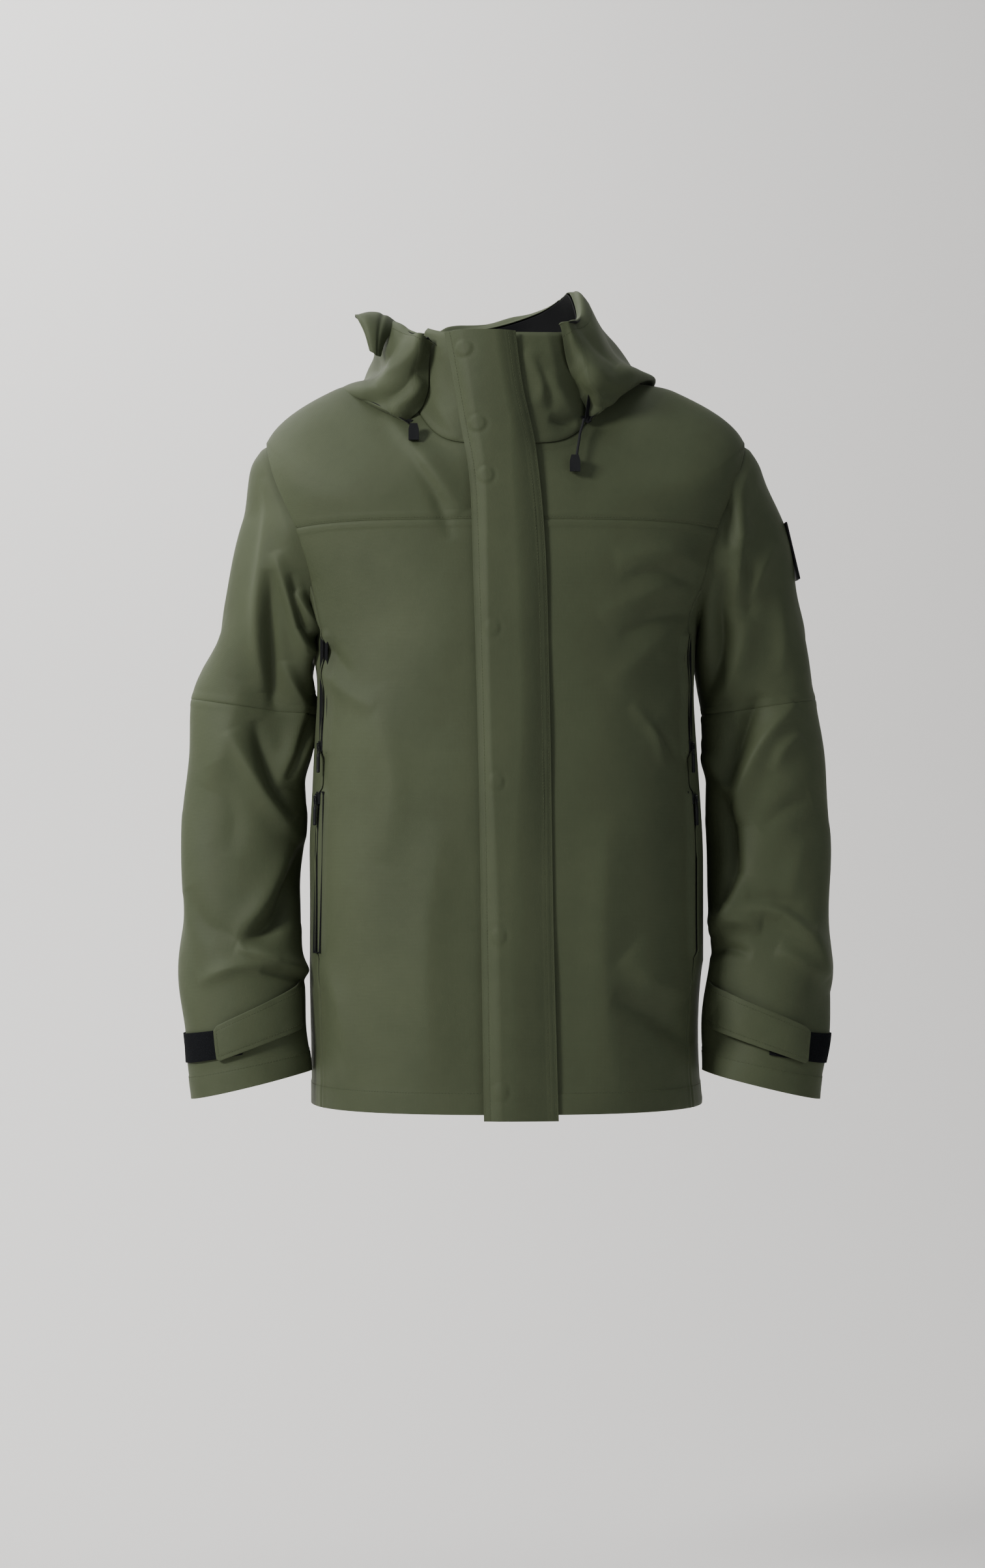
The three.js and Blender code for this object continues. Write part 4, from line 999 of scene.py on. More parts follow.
# ------------------------------------------------------------------ storm flap
@dataclass
class StormFlap:
    """The two-layer flap over the main zip, sewn along a curved seam on the wearer's left.

    It is one sheet from that seam to its free edge; the sheet is attached to no body, and only its edge
    stitching moves with the flap.
    """

    seam: Spline = Spline((
        (0.050, -0.716), (0.0455, -0.536), (0.042, -0.317), (0.037, -0.150),
        (0.0285, -0.070), (0.016, -0.010), (0.009, 0.044),
    ))
    free: Spline = Spline((
        (-0.021, -0.716), (-0.0235, -0.540), (-0.026, -0.380), (-0.031, -0.200),
        (-0.035, -0.100), (-0.043, -0.040), (-0.056, 0.043),
    ))
    edge_lift: float = 0.0062
    middle_lift: float = 0.0126
    snap_inset: float = 0.0150
    snap_radius: float = 0.0078
    snap_rise: float = 0.0007
    snap_heights: tuple[float, ...] = (0.025, -0.048)
    first_even_snap: float = -0.098
    snap_pitch: float = 0.1475
    seam_rows: tuple[float, ...] = (0.0022, 0.0082)
    edge_row: float = 0.0065
    thickness: float = 0.0018

    def over_front(self, x: Array, z: Array, lift: Array) -> tuple[Array, Array]:
        """Places over the front at a lift, hanging straight on below its hem."""
        clamped = np.maximum(z, -BODY.length)
        place, normal = BODY.on_front(x, clamped)
        place = place + normal * lift[..., None]
        place[..., 2] += z - clamped
        return place, normal

    def snaps(self) -> Array:
        """Where the snaps' middles lie, as x and z."""
        even = self.first_even_snap - self.snap_pitch * np.arange(5)
        heights = np.array([*self.snap_heights, *even])
        z_free = self.free.at(np.linspace(0, 1, 400))
        edge = np.interp(heights, z_free[:, 1], z_free[:, 0])
        return np.stack([edge + self.snap_inset + 0.001, heights], -1)

    def build(self, shell: "Finish", thread: "Finish") -> bpy.types.Object:
        """The flap, its embossed snaps and its stitching.

        Args:
            shell: the cloth's finish.
            thread: the stitching's finish.
        """
        u, v = patch((58, 0.070, 0.0005), (330, 0.760))
        seam, free = self.seam.at(v), self.free.at(v)
        x, z = lerp(seam[..., 0], free[..., 0], u), lerp(seam[..., 1], free[..., 1], u)
        run = u * np.hypot(seam[..., 0] - free[..., 0], seam[..., 1] - free[..., 1])
        width = run[:, -1:]
        lift = self.middle_lift * smoothstep(-0.014, np.maximum(0.020, 0.95 * seam[..., 0]), run)
        lift = lerp(lift, self.edge_lift, smoothstep(0.018, 0.0, width - run))
        lift = lift + 0.0005 * smoothstep(0.0105, 0.009, run)
        for row in self.seam_rows:
            lift = lift - 0.0004 * bell(run, row, 0.001)
        lift = lift - 0.0004 * bell(width - run, self.edge_row, 0.0012)
        lift = lift + 0.0010 * value_noise(x / 0.05, z / 0.07, 5) * smoothstep(0.0, 0.02, run)
        lift = lift + 0.0012 * value_noise(x / 0.09 + 7, z / 0.16, 6) * smoothstep(0.3, 1.0, u)
        for sx, sz in self.snaps():
            near = np.hypot(x - sx, z - sz)
            ring = smoothstep(self.snap_radius + 0.0008, self.snap_radius - 0.0026, near)
            lift = lift + self.snap_rise * ring - 0.0003 * bell(near, 0.0094, 0.0022)
        grid, normal = self.over_front(x, z, lift)
        piece = sewn_cloth("storm_flap_cloth", grid, normal, self.thickness, ("storm_flap",),
                           shell, body="")
        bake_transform(piece)
        for number, row in enumerate(self.seam_rows):
            column = int(np.argmin(np.abs(run[0] - row)))
            sew(f"flap_seam_stitch_{number}", grid[:, column], normal[:, column], thread)
        column = int(np.argmin(np.abs(width[0] - run[0] - self.edge_row)))
        sew("flap_edge_stitch", grid[:, column], normal[:, column], thread, "flap")
        return piece


# ------------------------------------------------------------------ sleeves
@dataclass(frozen=True)
class SleeveSurface:
    """A hanging sleeve of the wearer's left arm, in two lengths that meet at the elbow."""

    standoff: float = 0.003
    elbow: tuple[float, float, float] = (0.256, 0.004, -0.318)
    elbow_radius: float = 0.056
    elbow_slant: float = -0.008
    flatness: float = 0.8
    line: Spline = Spline((
        (0.256, 0.004, -0.318), (0.261, -0.008, -0.4482), (0.261, -0.030, -0.57096),
        (0.251, -0.048, -0.690),
    ))
    shape: Spline = Spline(((0.056, -0.008), (0.060, -0.002), (0.061, 0.005), (0.058, 0.014)))
    top: float = -0.318
    cuff: float = -0.690

    def ring(self, turn: Array, centre: Array, radius: Array, slant: Array) -> Array:
        """A flattened, slanted ring; turn 0 is the outside, a quarter turn the front."""
        return np.stack([
            centre[..., 0] + radius * np.cos(turn),
            centre[..., 1] - radius * self.flatness * np.sin(turn),
            centre[..., 2] - slant * np.cos(turn),
        ], -1)

    def upper(self, turn: Array, v: Array) -> Array:
        """The upper sleeve: a cubic curve for each turn, from the armhole to the elbow."""
        turn, v = np.broadcast_arrays(turn, v)
        start = BODY.point(np.pi / 2 - ARMHOLE * np.sin(turn), YOKE_LEVEL + np.cos(turn))
        start = start + np.array([self.standoff, 0, 0]) * smoothstep(0.0, 0.12, v)[..., None]
        elbow = np.broadcast_to(self.elbow, (*turn.shape, 3))
        end = self.ring(turn, elbow, self.elbow_radius, self.elbow_slant)
        length = np.linalg.norm(end - start, axis=-1, keepdims=True)
        zero = np.zeros_like(turn)
        out = np.stack([0.3 + 0.25 * np.cos(turn), zero, zero - 0.85], -1) * 0.3 * length
        back = np.array([-0.08, 0, 0.33]) * length
        k = np.clip(v, 0, 1)[..., None]
        return (
            (1 - k) ** 3 * start + 3 * (1 - k) ** 2 * k * (start + out)
            + 3 * (1 - k) * k**2 * (end + back) + k**3 * end
        )

    def lower(self, turn: Array, v: Array) -> Array:
        """The lower sleeve: an oval tube bent forwards to the cuff."""
        turn, v = np.broadcast_arrays(turn, v)
        shape = self.shape.at(v)
        return self.ring(turn, self.line.at(v), shape[..., 0], shape[..., 1])

    def on_cuff(self, turn: Array, height: Array, lift: Array) -> tuple[Array, Array]:
        """A place over the lower sleeve at a height, lifted outwards, and its outward normal."""
        turn, height = np.broadcast_arrays(turn, height)
        v = np.clip((self.top - height) / (self.top - self.cuff), 0, 1)
        point, shape = self.lower(turn, v), self.shape.at(v)
        away = unit(np.stack([
            np.cos(turn) / shape[..., 0],
            -np.sin(turn) / (shape[..., 0] * self.flatness),
            np.zeros_like(turn),
        ], -1))
        return point + away * np.asarray(lift)[..., None], away


SLEEVE = SleeveSurface()


@dataclass
class Sleeve:
    """One sleeve: upper and lower cloth, seam, cuff hem, tab and loop strip."""

    side: Side
    folds: tuple[Crease, ...]
    seed: int
    around: int = 180
    press: float = 0.0060
    tuck: float = 0.0060
    slim: float = 0.0
    tab_free: float = 50.0
    tab_sewn: float = 160.0
    tab_height: float = -0.642
    tab_row: float = 0.004
    tab_thickness: float = 0.0016
    strip_span: tuple[float, float] = (-20.0, 88.0)
    strip_width: float = 0.028
    strip_thickness: float = 0.0014
    upper_thickness: float = 0.0011
    lower_thickness: float = 0.0012

    def mirror(self, grid: Array) -> Array:
        """A grid of the left sleeve moved to this side."""
        return grid * np.array([self.side.value, 1, 1])

    def lift(self, place: Array, normal: Array, turn: Array) -> Array:
        """How far the cloth stands off the plain sleeve.

        A soft swell, the creases, and where the arm hangs against the body the inside pressed
        out flat towards it.

        Args:
            place: places on the left sleeve's plain surface.
            normal: its outward normals.
            turn: their turns round the sleeve.
        """
        z = place[..., 2]
        rng = np.random.default_rng(self.seed)
        total = np.zeros(z.shape)
        for k in range(12):
            waves, pitch = rng.integers(1, 5), rng.uniform(18, 70)
            phase = waves * turn + pitch * z + rng.uniform(0, 6.28)
            total = total + 0.0011 / (1 + 0.25 * k) * np.sin(phase)
        worn, facing = self.mirror(place), -normal[..., 1]
        for crease in self.folds:
            total = total + crease.lift(worn, facing)
        total = total * smoothstep(-0.060, -0.100, z) * smoothstep(-0.715, -0.640, z)
        inside = smoothstep(-0.35, -0.95, np.cos(turn))
        total = total + self.press * inside * smoothstep(-0.225, -0.270, z) * smoothstep(-0.395, -0.365, z)
        outside = smoothstep(0.0, 0.9, np.cos(turn))
        total = total - self.slim * outside * smoothstep(-0.070, -0.130, z) * smoothstep(-0.300, -0.220, z)
        return np.clip(total, -0.018, 0.016)

    def displaced(self, grid: Array, turn: Array, elbow: int) -> tuple[Array, Array]:
        """The folded grid and its outward normals, the same on both sides of the elbow seam.

        Args:
            grid: the plain sleeve.
            turn: its turns round the sleeve.
            elbow: the row at the elbow seam.
        """
        normal = grid_normals(grid, True)
        radial = unit((grid - grid.mean(axis=1, keepdims=True)) * [1, 1, 0])
        if np.mean(np.sum(normal * radial, -1)) < 0:
            normal = -normal
        away = np.linalg.norm(grid - grid[elbow], axis=-1, keepdims=True)
        normal = unit(lerp(normal, radial, smoothstep(0.035, 0.0, away)))
        return grid + normal * self.lift(grid, normal, turn)[..., None], normal

    def build(self, shell: "Finish", loop: "Finish", thread: "Finish") -> None:
        """The sleeve's pieces.

        Args:
            shell: the cloth's finish.
            loop: the loop strip's finish.
            thread: the stitching's finish.
        """
        turn = np.linspace(0, 2 * np.pi, self.around, endpoint=False)[None, :]
        label = self.side.label
        v = spread(120, 0.26)[:, None]
        upper = SLEEVE.upper(turn, v)
        full = np.broadcast_to(turn, upper.shape[:2])
        upper, normal = self.displaced(upper, full, -1)
        gap = edge_distances(upper)
        roll = FINE_SEAM.lift(gap[Edge.TOP])
        upper = upper + normal * roll[..., None]
        upper[..., 0] -= self.tuck * smoothstep(0.009, 0.0, gap[Edge.BOTTOM])
        grid = self.mirror(upper)
        name = f"upper_sleeve_{label}"
        sewn_cloth(f"{name}_cloth", grid, self.mirror(normal), self.upper_thickness, (name,),
                   shell, closed=True)

        v = spread(190, 0.372)[:, None]
        lower = SLEEVE.lower(turn, v)
        full = np.broadcast_to(turn, lower.shape[:2])
        lower, normal = self.displaced(lower, full, 0)
        gap = edge_distances(lower)
        roll = FINE_SEAM.lift(gap[Edge.BOTTOM]) + HEM.lift(gap[Edge.TOP])
        lower = lower + normal * roll[..., None]
        grid, out = self.mirror(lower), self.mirror(normal)
        name = f"lower_sleeve_{label}"
        sewn_cloth(f"{name}_cloth", grid, out, self.lower_thickness, (name,), shell,
                   closed=True)
        row = int(np.argmin(np.abs(gap[Edge.TOP][:, 0] - HEM.stitch_at[0])))
        sew(f"cuff_{label}_stitch", grid[row], out[row], thread)
        self.tab(shell, thread)
        self.strip(loop)

    def fitted(self, turn: Array, height: Array, lift: Array) -> tuple[Array, Array]:
        """Places over the cuff, raised further where the folded cloth under them stands out."""
        place, away = SLEEVE.on_cuff(turn, height, lift)
        under = self.lift(place, away, turn)
        return place + away * np.clip(under, 0, None)[..., None], away

    def tab(self, shell: "Finish", thread: "Finish") -> None:
        """The cuff tab, wide at its sewn end, with a rounded free end and edge stitching."""
        u, v = patch((56, 0.105), (26, 0.040))
        turn = np.radians(lerp(self.tab_free, self.tab_sewn, u))
        end_round = 1 - 0.16 * smoothstep(0.05, 0.0, u) ** 2
        height = self.tab_height + 0.028 * u + (v - 0.5) * lerp(0.034, 0.049, u) * end_round
        sewn = smoothstep(0.86, 1.0, u)
        lift = lerp(0.0048, 0.0012, sewn) + 0.0010 * np.sin(np.pi * v) ** 0.5
        lift = lift + 0.0007 * value_noise(u * 5, v * 2, self.seed + 3)
        place, away = self.fitted(turn, height, lift)
        gap = edge_distances(place)
        near = np.minimum.reduce([gap[Edge.BOTTOM], gap[Edge.TOP], gap[Edge.START]])
        place = place - away * (0.0004 * bell(near, self.tab_row, 0.0011))[..., None]
        grid, out = self.mirror(place), self.mirror(away)
        name = f"cuff_tab_{self.side.label}"
        sewn_cloth(f"{name}_cloth", grid, out, self.tab_thickness, (name,), shell,
                   body=name)
        low, high = (
            int(np.argmin(np.abs(gap[edge][:, 20] - self.tab_row))) for edge in (Edge.BOTTOM, Edge.TOP)
        )
        column = int(np.argmin(np.abs(gap[Edge.START][5] - self.tab_row)))
        loop, normals = (
            np.concatenate([rows[low, ::-1][: rows.shape[1] - column], rows[low:high, column],
                            rows[high, column:]])
            for rows in (grid, out)
        )
        sew(f"{name}_stitch", loop, normals, thread, name)

    def strip(self, loop: "Finish") -> None:
        """The loop strip under the tab, running on round the outside of the cuff."""
        u, v = patch((60, 0.10), (14, self.strip_width))
        turn = np.radians(lerp(*self.strip_span, u))
        height = self.tab_height + (v - 0.5) * self.strip_width
        place, away = self.fitted(turn, height, np.full(u.shape, 0.0018))
        grid, out = self.mirror(place), self.mirror(away)
        name = f"cuff_strip_{self.side.label}"
        sewn_cloth(f"{name}_pile", grid, out, self.strip_thickness, (name,), loop)


def sleeve_back_folds(side: Side, rise: float, heights: Sequence[float]) -> tuple[Crease, ...]:
    """The folds on the back of a sleeve, given once for the left one and mirrored for the right.

    Args:
        side: the wearer's side.
        rise: how much higher than on the left sleeve they lie.
        heights: how far each stands off; below 0 is a valley.

    Returns:
        A crease for each height, with the left sleeve's width and skew.
    """
    folds = (
        (((0.235, -0.120), (0.262, -0.190), (0.300, -0.250)), 0.0096, 1.5),
        (((0.225, -0.170), (0.250, -0.235), (0.298, -0.300)), 0.0088, 1.5),
        (((0.240, -0.145), (0.262, -0.215), (0.296, -0.272)), 0.0072, 1.0),
        (((0.205, -0.300), (0.250, -0.330), (0.308, -0.345)), 0.0080, 1.6),
        (((0.200, -0.350), (0.250, -0.372), (0.312, -0.360)), 0.0080, 1.6),
        (((0.205, -0.325), (0.255, -0.352), (0.306, -0.352)), 0.0064, 1.0),
        (((0.205, -0.420), (0.250, -0.450), (0.300, -0.520)), 0.0104, 1.5),
        (((0.315, -0.430), (0.280, -0.500), (0.225, -0.540)), 0.0104, 1.5),
        (((0.205, -0.540), (0.255, -0.575), (0.312, -0.590)), 0.0088, 1.6),
        (((0.205, -0.590), (0.250, -0.606), (0.300, -0.612)), 0.0072, 1.5),
        (((0.210, -0.566), (0.255, -0.596), (0.305, -0.602)), 0.0056, 1.0),
    )
    return tuple(
        Crease(tuple((side.value * x, z + rise) for x, z in line), height, width, skew, back=True)
        for (line, width, skew), height in zip(folds, heights)
    )


RIGHT_SLEEVE_FOLDS = (
    Crease(((-0.2393, -0.0916), (-0.2413, -0.1668), (-0.2434, -0.2182), (-0.2434, -0.2661),
            (-0.2379, -0.3037)), 0.0087, 0.0088, 1.6),
    Crease(((-0.2311, -0.1839), (-0.2317, -0.2250), (-0.2297, -0.2729),
            (-0.2249, -0.3276)), -0.0101, 0.0072),
    Crease(((-0.2263, -0.1668), (-0.2109, -0.2147), (-0.2016, -0.2592),
            (-0.1968, -0.3037)), 0.0116, 0.0064, 1.3),
    Crease(((-0.2109, -0.1874), (-0.2037, -0.2250), (-0.1962, -0.2626),
            (-0.1914, -0.2968)), -0.0087, 0.0048),
    Crease(((-0.2057, -0.2045), (-0.1972, -0.2250), (-0.1921, -0.2421),
            (-0.1784, -0.2507)), 0.0130, 0.0048, 1.2),
    Crease(((-0.2016, -0.2387), (-0.1975, -0.2592), (-0.1880, -0.2763)), 0.0101, 0.0048, 1.2),
    Crease(((-0.1927, -0.2592), (-0.1914, -0.2866), (-0.1838, -0.3139)), -0.0101, 0.0072),
    Crease(((-0.2187, -0.2729), (-0.2109, -0.3139), (-0.2133, -0.3550),
            (-0.2242, -0.3995)), 0.0116, 0.0064, 1.2),
    Crease(((-0.1921, -0.3003), (-0.2003, -0.3345), (-0.2085, -0.3687),
            (-0.2105, -0.3995)), 0.0101, 0.0056),
    Crease(((-0.2051, -0.3174), (-0.2098, -0.3550), (-0.2167, -0.3909)), -0.0087, 0.0040),
    Crease(((-0.2707, -0.3413), (-0.2564, -0.3721), (-0.2393, -0.4029), (-0.2194, -0.4303),
            (-0.2016, -0.4576)), 0.0094, 0.0080, 1.5),
    Crease(((-0.2482, -0.3311), (-0.2372, -0.3721), (-0.2256, -0.4029),
            (-0.2085, -0.4285)), -0.0101, 0.0080),
    Crease(((-0.1921, -0.4508), (-0.2109, -0.4953), (-0.2263, -0.5278),
            (-0.2588, -0.5500)), -0.0159, 0.0104),
    Crease(((-0.2085, -0.4542), (-0.2263, -0.4953), (-0.2495, -0.5312),
            (-0.2618, -0.5466)), 0.0072, 0.0120),
    Crease(((-0.2639, -0.5541), (-0.2365, -0.5630), (-0.2160, -0.5726),
            (-0.1886, -0.5842)), 0.0109, 0.0064, 1.5),
    Crease(((-0.3015, -0.5893), (-0.2639, -0.5739), (-0.2228, -0.5733)), 0.0058, 0.0064, 1.4),
    Crease(((-0.2393, -0.5760), (-0.2160, -0.5828), (-0.1955, -0.5904)), -0.0043, 0.0040),
    Crease(((-0.3152, -0.4987), (-0.2930, -0.5329), (-0.2639, -0.5438)), -0.0043, 0.0112),
    Crease(((-0.2878, -0.3755), (-0.2673, -0.4234), (-0.2714, -0.4645)), -0.0035, 0.0128),
    Crease(((-0.2605, -0.2934), (-0.2776, -0.3618), (-0.2947, -0.3995)), 0.0038, 0.0144),
) + sleeve_back_folds(Side.RIGHT, 0.012, (
    0.0083, 0.0083, -0.0055, 0.0103, 0.0096, -0.0068,
    0.0075, 0.0075, 0.0096, 0.0068, -0.0055,
))
LEFT_SLEEVE_FOLDS = (
    Crease(((0.2284, -0.0752), (0.2246, -0.1231), (0.2294, -0.1641),
            (0.2233, -0.2188)), 0.0087, 0.0088, 1.5),
    Crease(((0.2178, -0.0923), (0.2205, -0.1299), (0.2185, -0.1641)), -0.0087, 0.0064),
    Crease(((0.2301, -0.1538), (0.2383, -0.1915), (0.2404, -0.2325)), -0.0043, 0.0072),
    Crease(((0.2636, -0.1573), (0.2472, -0.1915), (0.2404, -0.2188)), 0.0043, 0.0080),
    Crease(((0.2164, -0.1846), (0.2130, -0.2257), (0.2130, -0.2599),
            (0.1959, -0.3283)), -0.0116, 0.0096),
    Crease(((0.2369, -0.2325), (0.2284, -0.2736), (0.2164, -0.3112)), 0.0072, 0.0112, 1.4),
    Crease(((0.2705, -0.2017), (0.2739, -0.2462), (0.2718, -0.2873)), 0.0038, 0.0080, 1.4),
    Crease(((0.2865, -0.3146), (0.2629, -0.3386), (0.2438, -0.3694), (0.2308, -0.4036),
            (0.2267, -0.4344)), 0.0116, 0.0088, 1.5),
    Crease(((0.2540, -0.3044), (0.2369, -0.3317), (0.2284, -0.3591),
            (0.2181, -0.3967)), -0.0116, 0.0088),
    Crease(((0.2934, -0.3454), (0.2746, -0.3591), (0.2636, -0.3831)), 0.0049, 0.0072, 1.3),
    Crease(((0.2130, -0.4002), (0.2215, -0.4446), (0.2239, -0.4823),
            (0.2164, -0.5130)), -0.0116, 0.0072),
    Crease(((0.2027, -0.3625), (0.2130, -0.3899), (0.2233, -0.4104)), 0.0058, 0.0072),
    Crease(((0.3019, -0.4087), (0.2746, -0.4190), (0.2493, -0.4395)), -0.0043, 0.0104),
    Crease(((0.2010, -0.5336), (0.2215, -0.5199), (0.2308, -0.4823)), 0.0080, 0.0080),
    Crease(((0.2164, -0.5199), (0.2677, -0.5199), (0.3002, -0.5507),
            (0.3242, -0.5986)), 0.0109, 0.0088, 1.6),
    Crease(((0.2369, -0.5062), (0.2711, -0.5113), (0.3019, -0.5370)), -0.0058, 0.0080),
    Crease(((0.1993, -0.5438), (0.2233, -0.5308), (0.2506, -0.5336)), 0.0087, 0.0072, 1.4),
    Crease(((0.2643, -0.5558), (0.2865, -0.5678), (0.3156, -0.5866)), 0.0052, 0.0064, 1.4),
    Crease(((0.1993, -0.5644), (0.2164, -0.5558), (0.2404, -0.5609)), -0.0052, 0.0056),
    Crease(((0.2951, -0.4446), (0.2848, -0.4788), (0.2780, -0.5062)), 0.0038, 0.0144),
) + sleeve_back_folds(Side.LEFT, 0.0, (
    0.0087, 0.0087, -0.0058, 0.0109, 0.0101, -0.0072,
    0.0080, 0.0080, 0.0101, 0.0072, -0.0058,
))


# ------------------------------------------------------------------ hood
def front_rib(points: Sequence[tuple[float, float, float]]) -> tuple[tuple[float, float, float], ...]:
    """A rib that lies over the front: each point is (x, z, lift) in millimetres."""
    table = np.array(points) * MM
    place, normal = BODY.on_front(table[:, 0], np.minimum(table[:, 1], 0.040))
    place = place + normal * table[:, 2:3]
    place[:, 2] = table[:, 1]
    return tuple(map(tuple, place))


def rib_mm(*points: tuple[float, float, float]) -> tuple[tuple[float, float, float], ...]:
    """A rib from points in millimetres."""
    return tuple(map(tuple, np.array(points) * MM))


@dataclass
class Hood:
    """The lowered hood: cloth lofted over ribs from one front edge round the back to the other.

    Each rib runs from the fold that hangs lowest, tucked under, up over the rim and a little way
    inside it.
    """

    rows: int = 92
    ribs: tuple[tuple[tuple[float, float, float], ...], ...] = (
        front_rib([(72, -38, 1), (78, -43, 2), (77, -31, 2.5), (68, -15, 2.5),
                  (58, 14, 2.5), (51, 50, 2.5), (50, 51, 1.5)]),
        rib_mm((92, -84, -30), (97, -91, -31), (94, -98, -16), (84, -104, -1),
               (72, -104, 24), (62, -104, 55), (60, -101, 53)),
        rib_mm((120, -60, -9), (128, -64, -6), (125, -70, 5), (112, -76, 18),
               (95, -76, 40), (74, -72, 64), (69, -70, 61)),
        rib_mm((136, -4, 4), (147, -6, 8), (136, -8, 18), (116, -8, 35),
               (96, -6, 60), (70, 0, 99), (63, 0, 96)),
        rib_mm((122, 62, -18), (136, 72, -16), (138, 84, 2), (124, 86, 30),
               (96, 74, 64), (60, 48, 99), (55, 44, 95)),
        rib_mm((72, 108, -52), (84, 128, -60), (90, 148, -36), (84, 152, 4),
               (66, 134, 48), (38, 84, 90), (34, 76, 86)),
        rib_mm((0, 128, -68), (0, 150, -82), (0, 171, -52), (0, 174, -4),
               (0, 156, 42), (-6, 98, 78), (-6, 88, 74)),
        rib_mm((-74, 108, -52), (-86, 128, -60), (-94, 146, -36), (-90, 148, 2),
               (-78, 128, 36), (-58, 82, 68), (-54, 74, 64)),
        rib_mm((-130, 60, -22), (-144, 70, -21), (-147, 80, -4), (-138, 82, 18),
               (-120, 70, 40), (-92, 44, 64), (-86, 40, 60)),
        rib_mm((-152, -6, -6), (-166, -8, -3), (-152, -10, 7), (-135, -12, 18),
               (-131, -12, 34), (-116, -12, 66), (-106, -10, 62)),
        rib_mm((-134, -54, -21), (-143, -60, -19), (-137, -68, -7), (-124, -76, 8),
               (-118, -78, 30), (-100, -70, 53), (-94, -68, 50)),
        rib_mm((-110, -80, -35), (-117, -86, -33), (-111, -94, -21), (-98, -99, -6),
               (-92, -100, 16), (-84, -96, 44), (-80, -93, 41)),
        front_rib([(-90, -40, 1), (-94, -45, 2), (-91, -37, 2.5), (-79, -26, 2.5),
                  (-74, -8, 2.5), (-69, 33, 2.5), (-67, 33, 1.5)]),
    )
    left_seam: float = 0.335
    right_seam: float = 0.665
    rim_row: float = 0.016
    thickness: float = 0.0012
    lining_span: tuple[float, float] = (0.165, 0.835)
    lining_thickness: float = 0.0008
    brim_thickness: float = 0.0024
    creases: Drape = Drape((
        Crease(((0.062, 0.046), (0.074, 0.020), (0.100, -0.004), (0.128, -0.010)), 0.0050, 0.0085, 1.5),
        Crease(((0.070, 0.060), (0.088, 0.034), (0.112, 0.014)), -0.0034, 0.0075),
        Crease(((0.070, 0.000), (0.088, -0.016), (0.112, -0.024)), 0.0042, 0.0070, 1.5),
        Crease(((0.074, -0.020), (0.086, -0.028), (0.102, -0.030)), -0.0036, 0.0050),
        Crease(((-0.078, 0.046), (-0.096, 0.018), (-0.128, -0.002)), 0.0046, 0.0085, 1.5),
        Crease(((-0.076, 0.024), (-0.092, -0.004), (-0.120, -0.018)), -0.0040, 0.0070),
        Crease(((-0.080, 0.000), (-0.094, -0.020), (-0.118, -0.030)), 0.0042, 0.0070, 1.5),
        Crease(((-0.104, 0.050), (-0.118, 0.024), (-0.142, 0.008)), -0.0034, 0.0080),
        Crease(((-0.100, 0.100), (-0.040, 0.060), (0.050, 0.070)), 0.0060, 0.0110, 1.5, back=True),
        Crease(((-0.080, 0.020), (0.000, -0.010), (0.090, 0.030)), 0.0070, 0.0130, 1.6, back=True),
        Crease(((-0.070, -0.020), (0.000, -0.046), (0.070, -0.020)), -0.0050, 0.0100, back=True),
    ), swell=0.0010, swell_size=0.030, seed=43)

    def surface(self, u: Array, v: Array) -> Array:
        """Places on the loft.

        Args:
            u: one row of shares along the hood, 0 at the wearer's left front.
            v: one row of shares up the ribs.

        Returns:
            v x u x 3, a spline across the ribs' own splines.
        """
        lines = np.stack([Spline(rib).at(v) for rib in self.ribs])
        return np.swapaxes(catmull(lines, u), 0, 1)

    def drape(self, grid: Array, u: Array, v: Array) -> tuple[Array, Array]:
        """Slack folds that fan out from the front edges and sag at the back.

        Args:
            grid: the plain loft.
            u: its row of shares along the hood.
            v: its row of shares up the ribs.

        Returns:
            The folded grid and the plain loft's outward normals.
        """
        normal = grid_normals(grid, False)
        centre = np.array([0.0, 0.02, 0.0])
        if np.mean(np.sum(normal * (grid - centre), -1)) < 0:
            normal = -normal
        uu, vv = np.broadcast_arrays(u[None, :], v[:, None])
        open_cloth = smoothstep(0.0, 0.18, vv) * smoothstep(1.0, 0.80, vv)
        front = bell(uu, 0.0, 0.13) + bell(1 - uu, 0.0, 0.13)
        fan = np.sin(2 * np.pi * (vv * 3.4 + 1.2 * np.minimum(uu, 1 - uu) * 6)) * front
        sag = np.sin(2 * np.pi * (vv * 1.7 - 0.8 * np.cos(2 * np.pi * uu))) * (1 - front)
        waves = value_noise(uu * 11, vv * 4, 41) + 0.5 * value_noise(uu * 23, vv * 7, 42)
        lift = open_cloth * (0.0016 * fan + 0.0030 * sag + 0.0030 * waves - 0.0020)
        lift = lift + open_cloth * self.creases.lift(grid, normal)
        return grid + normal * lift[..., None], normal

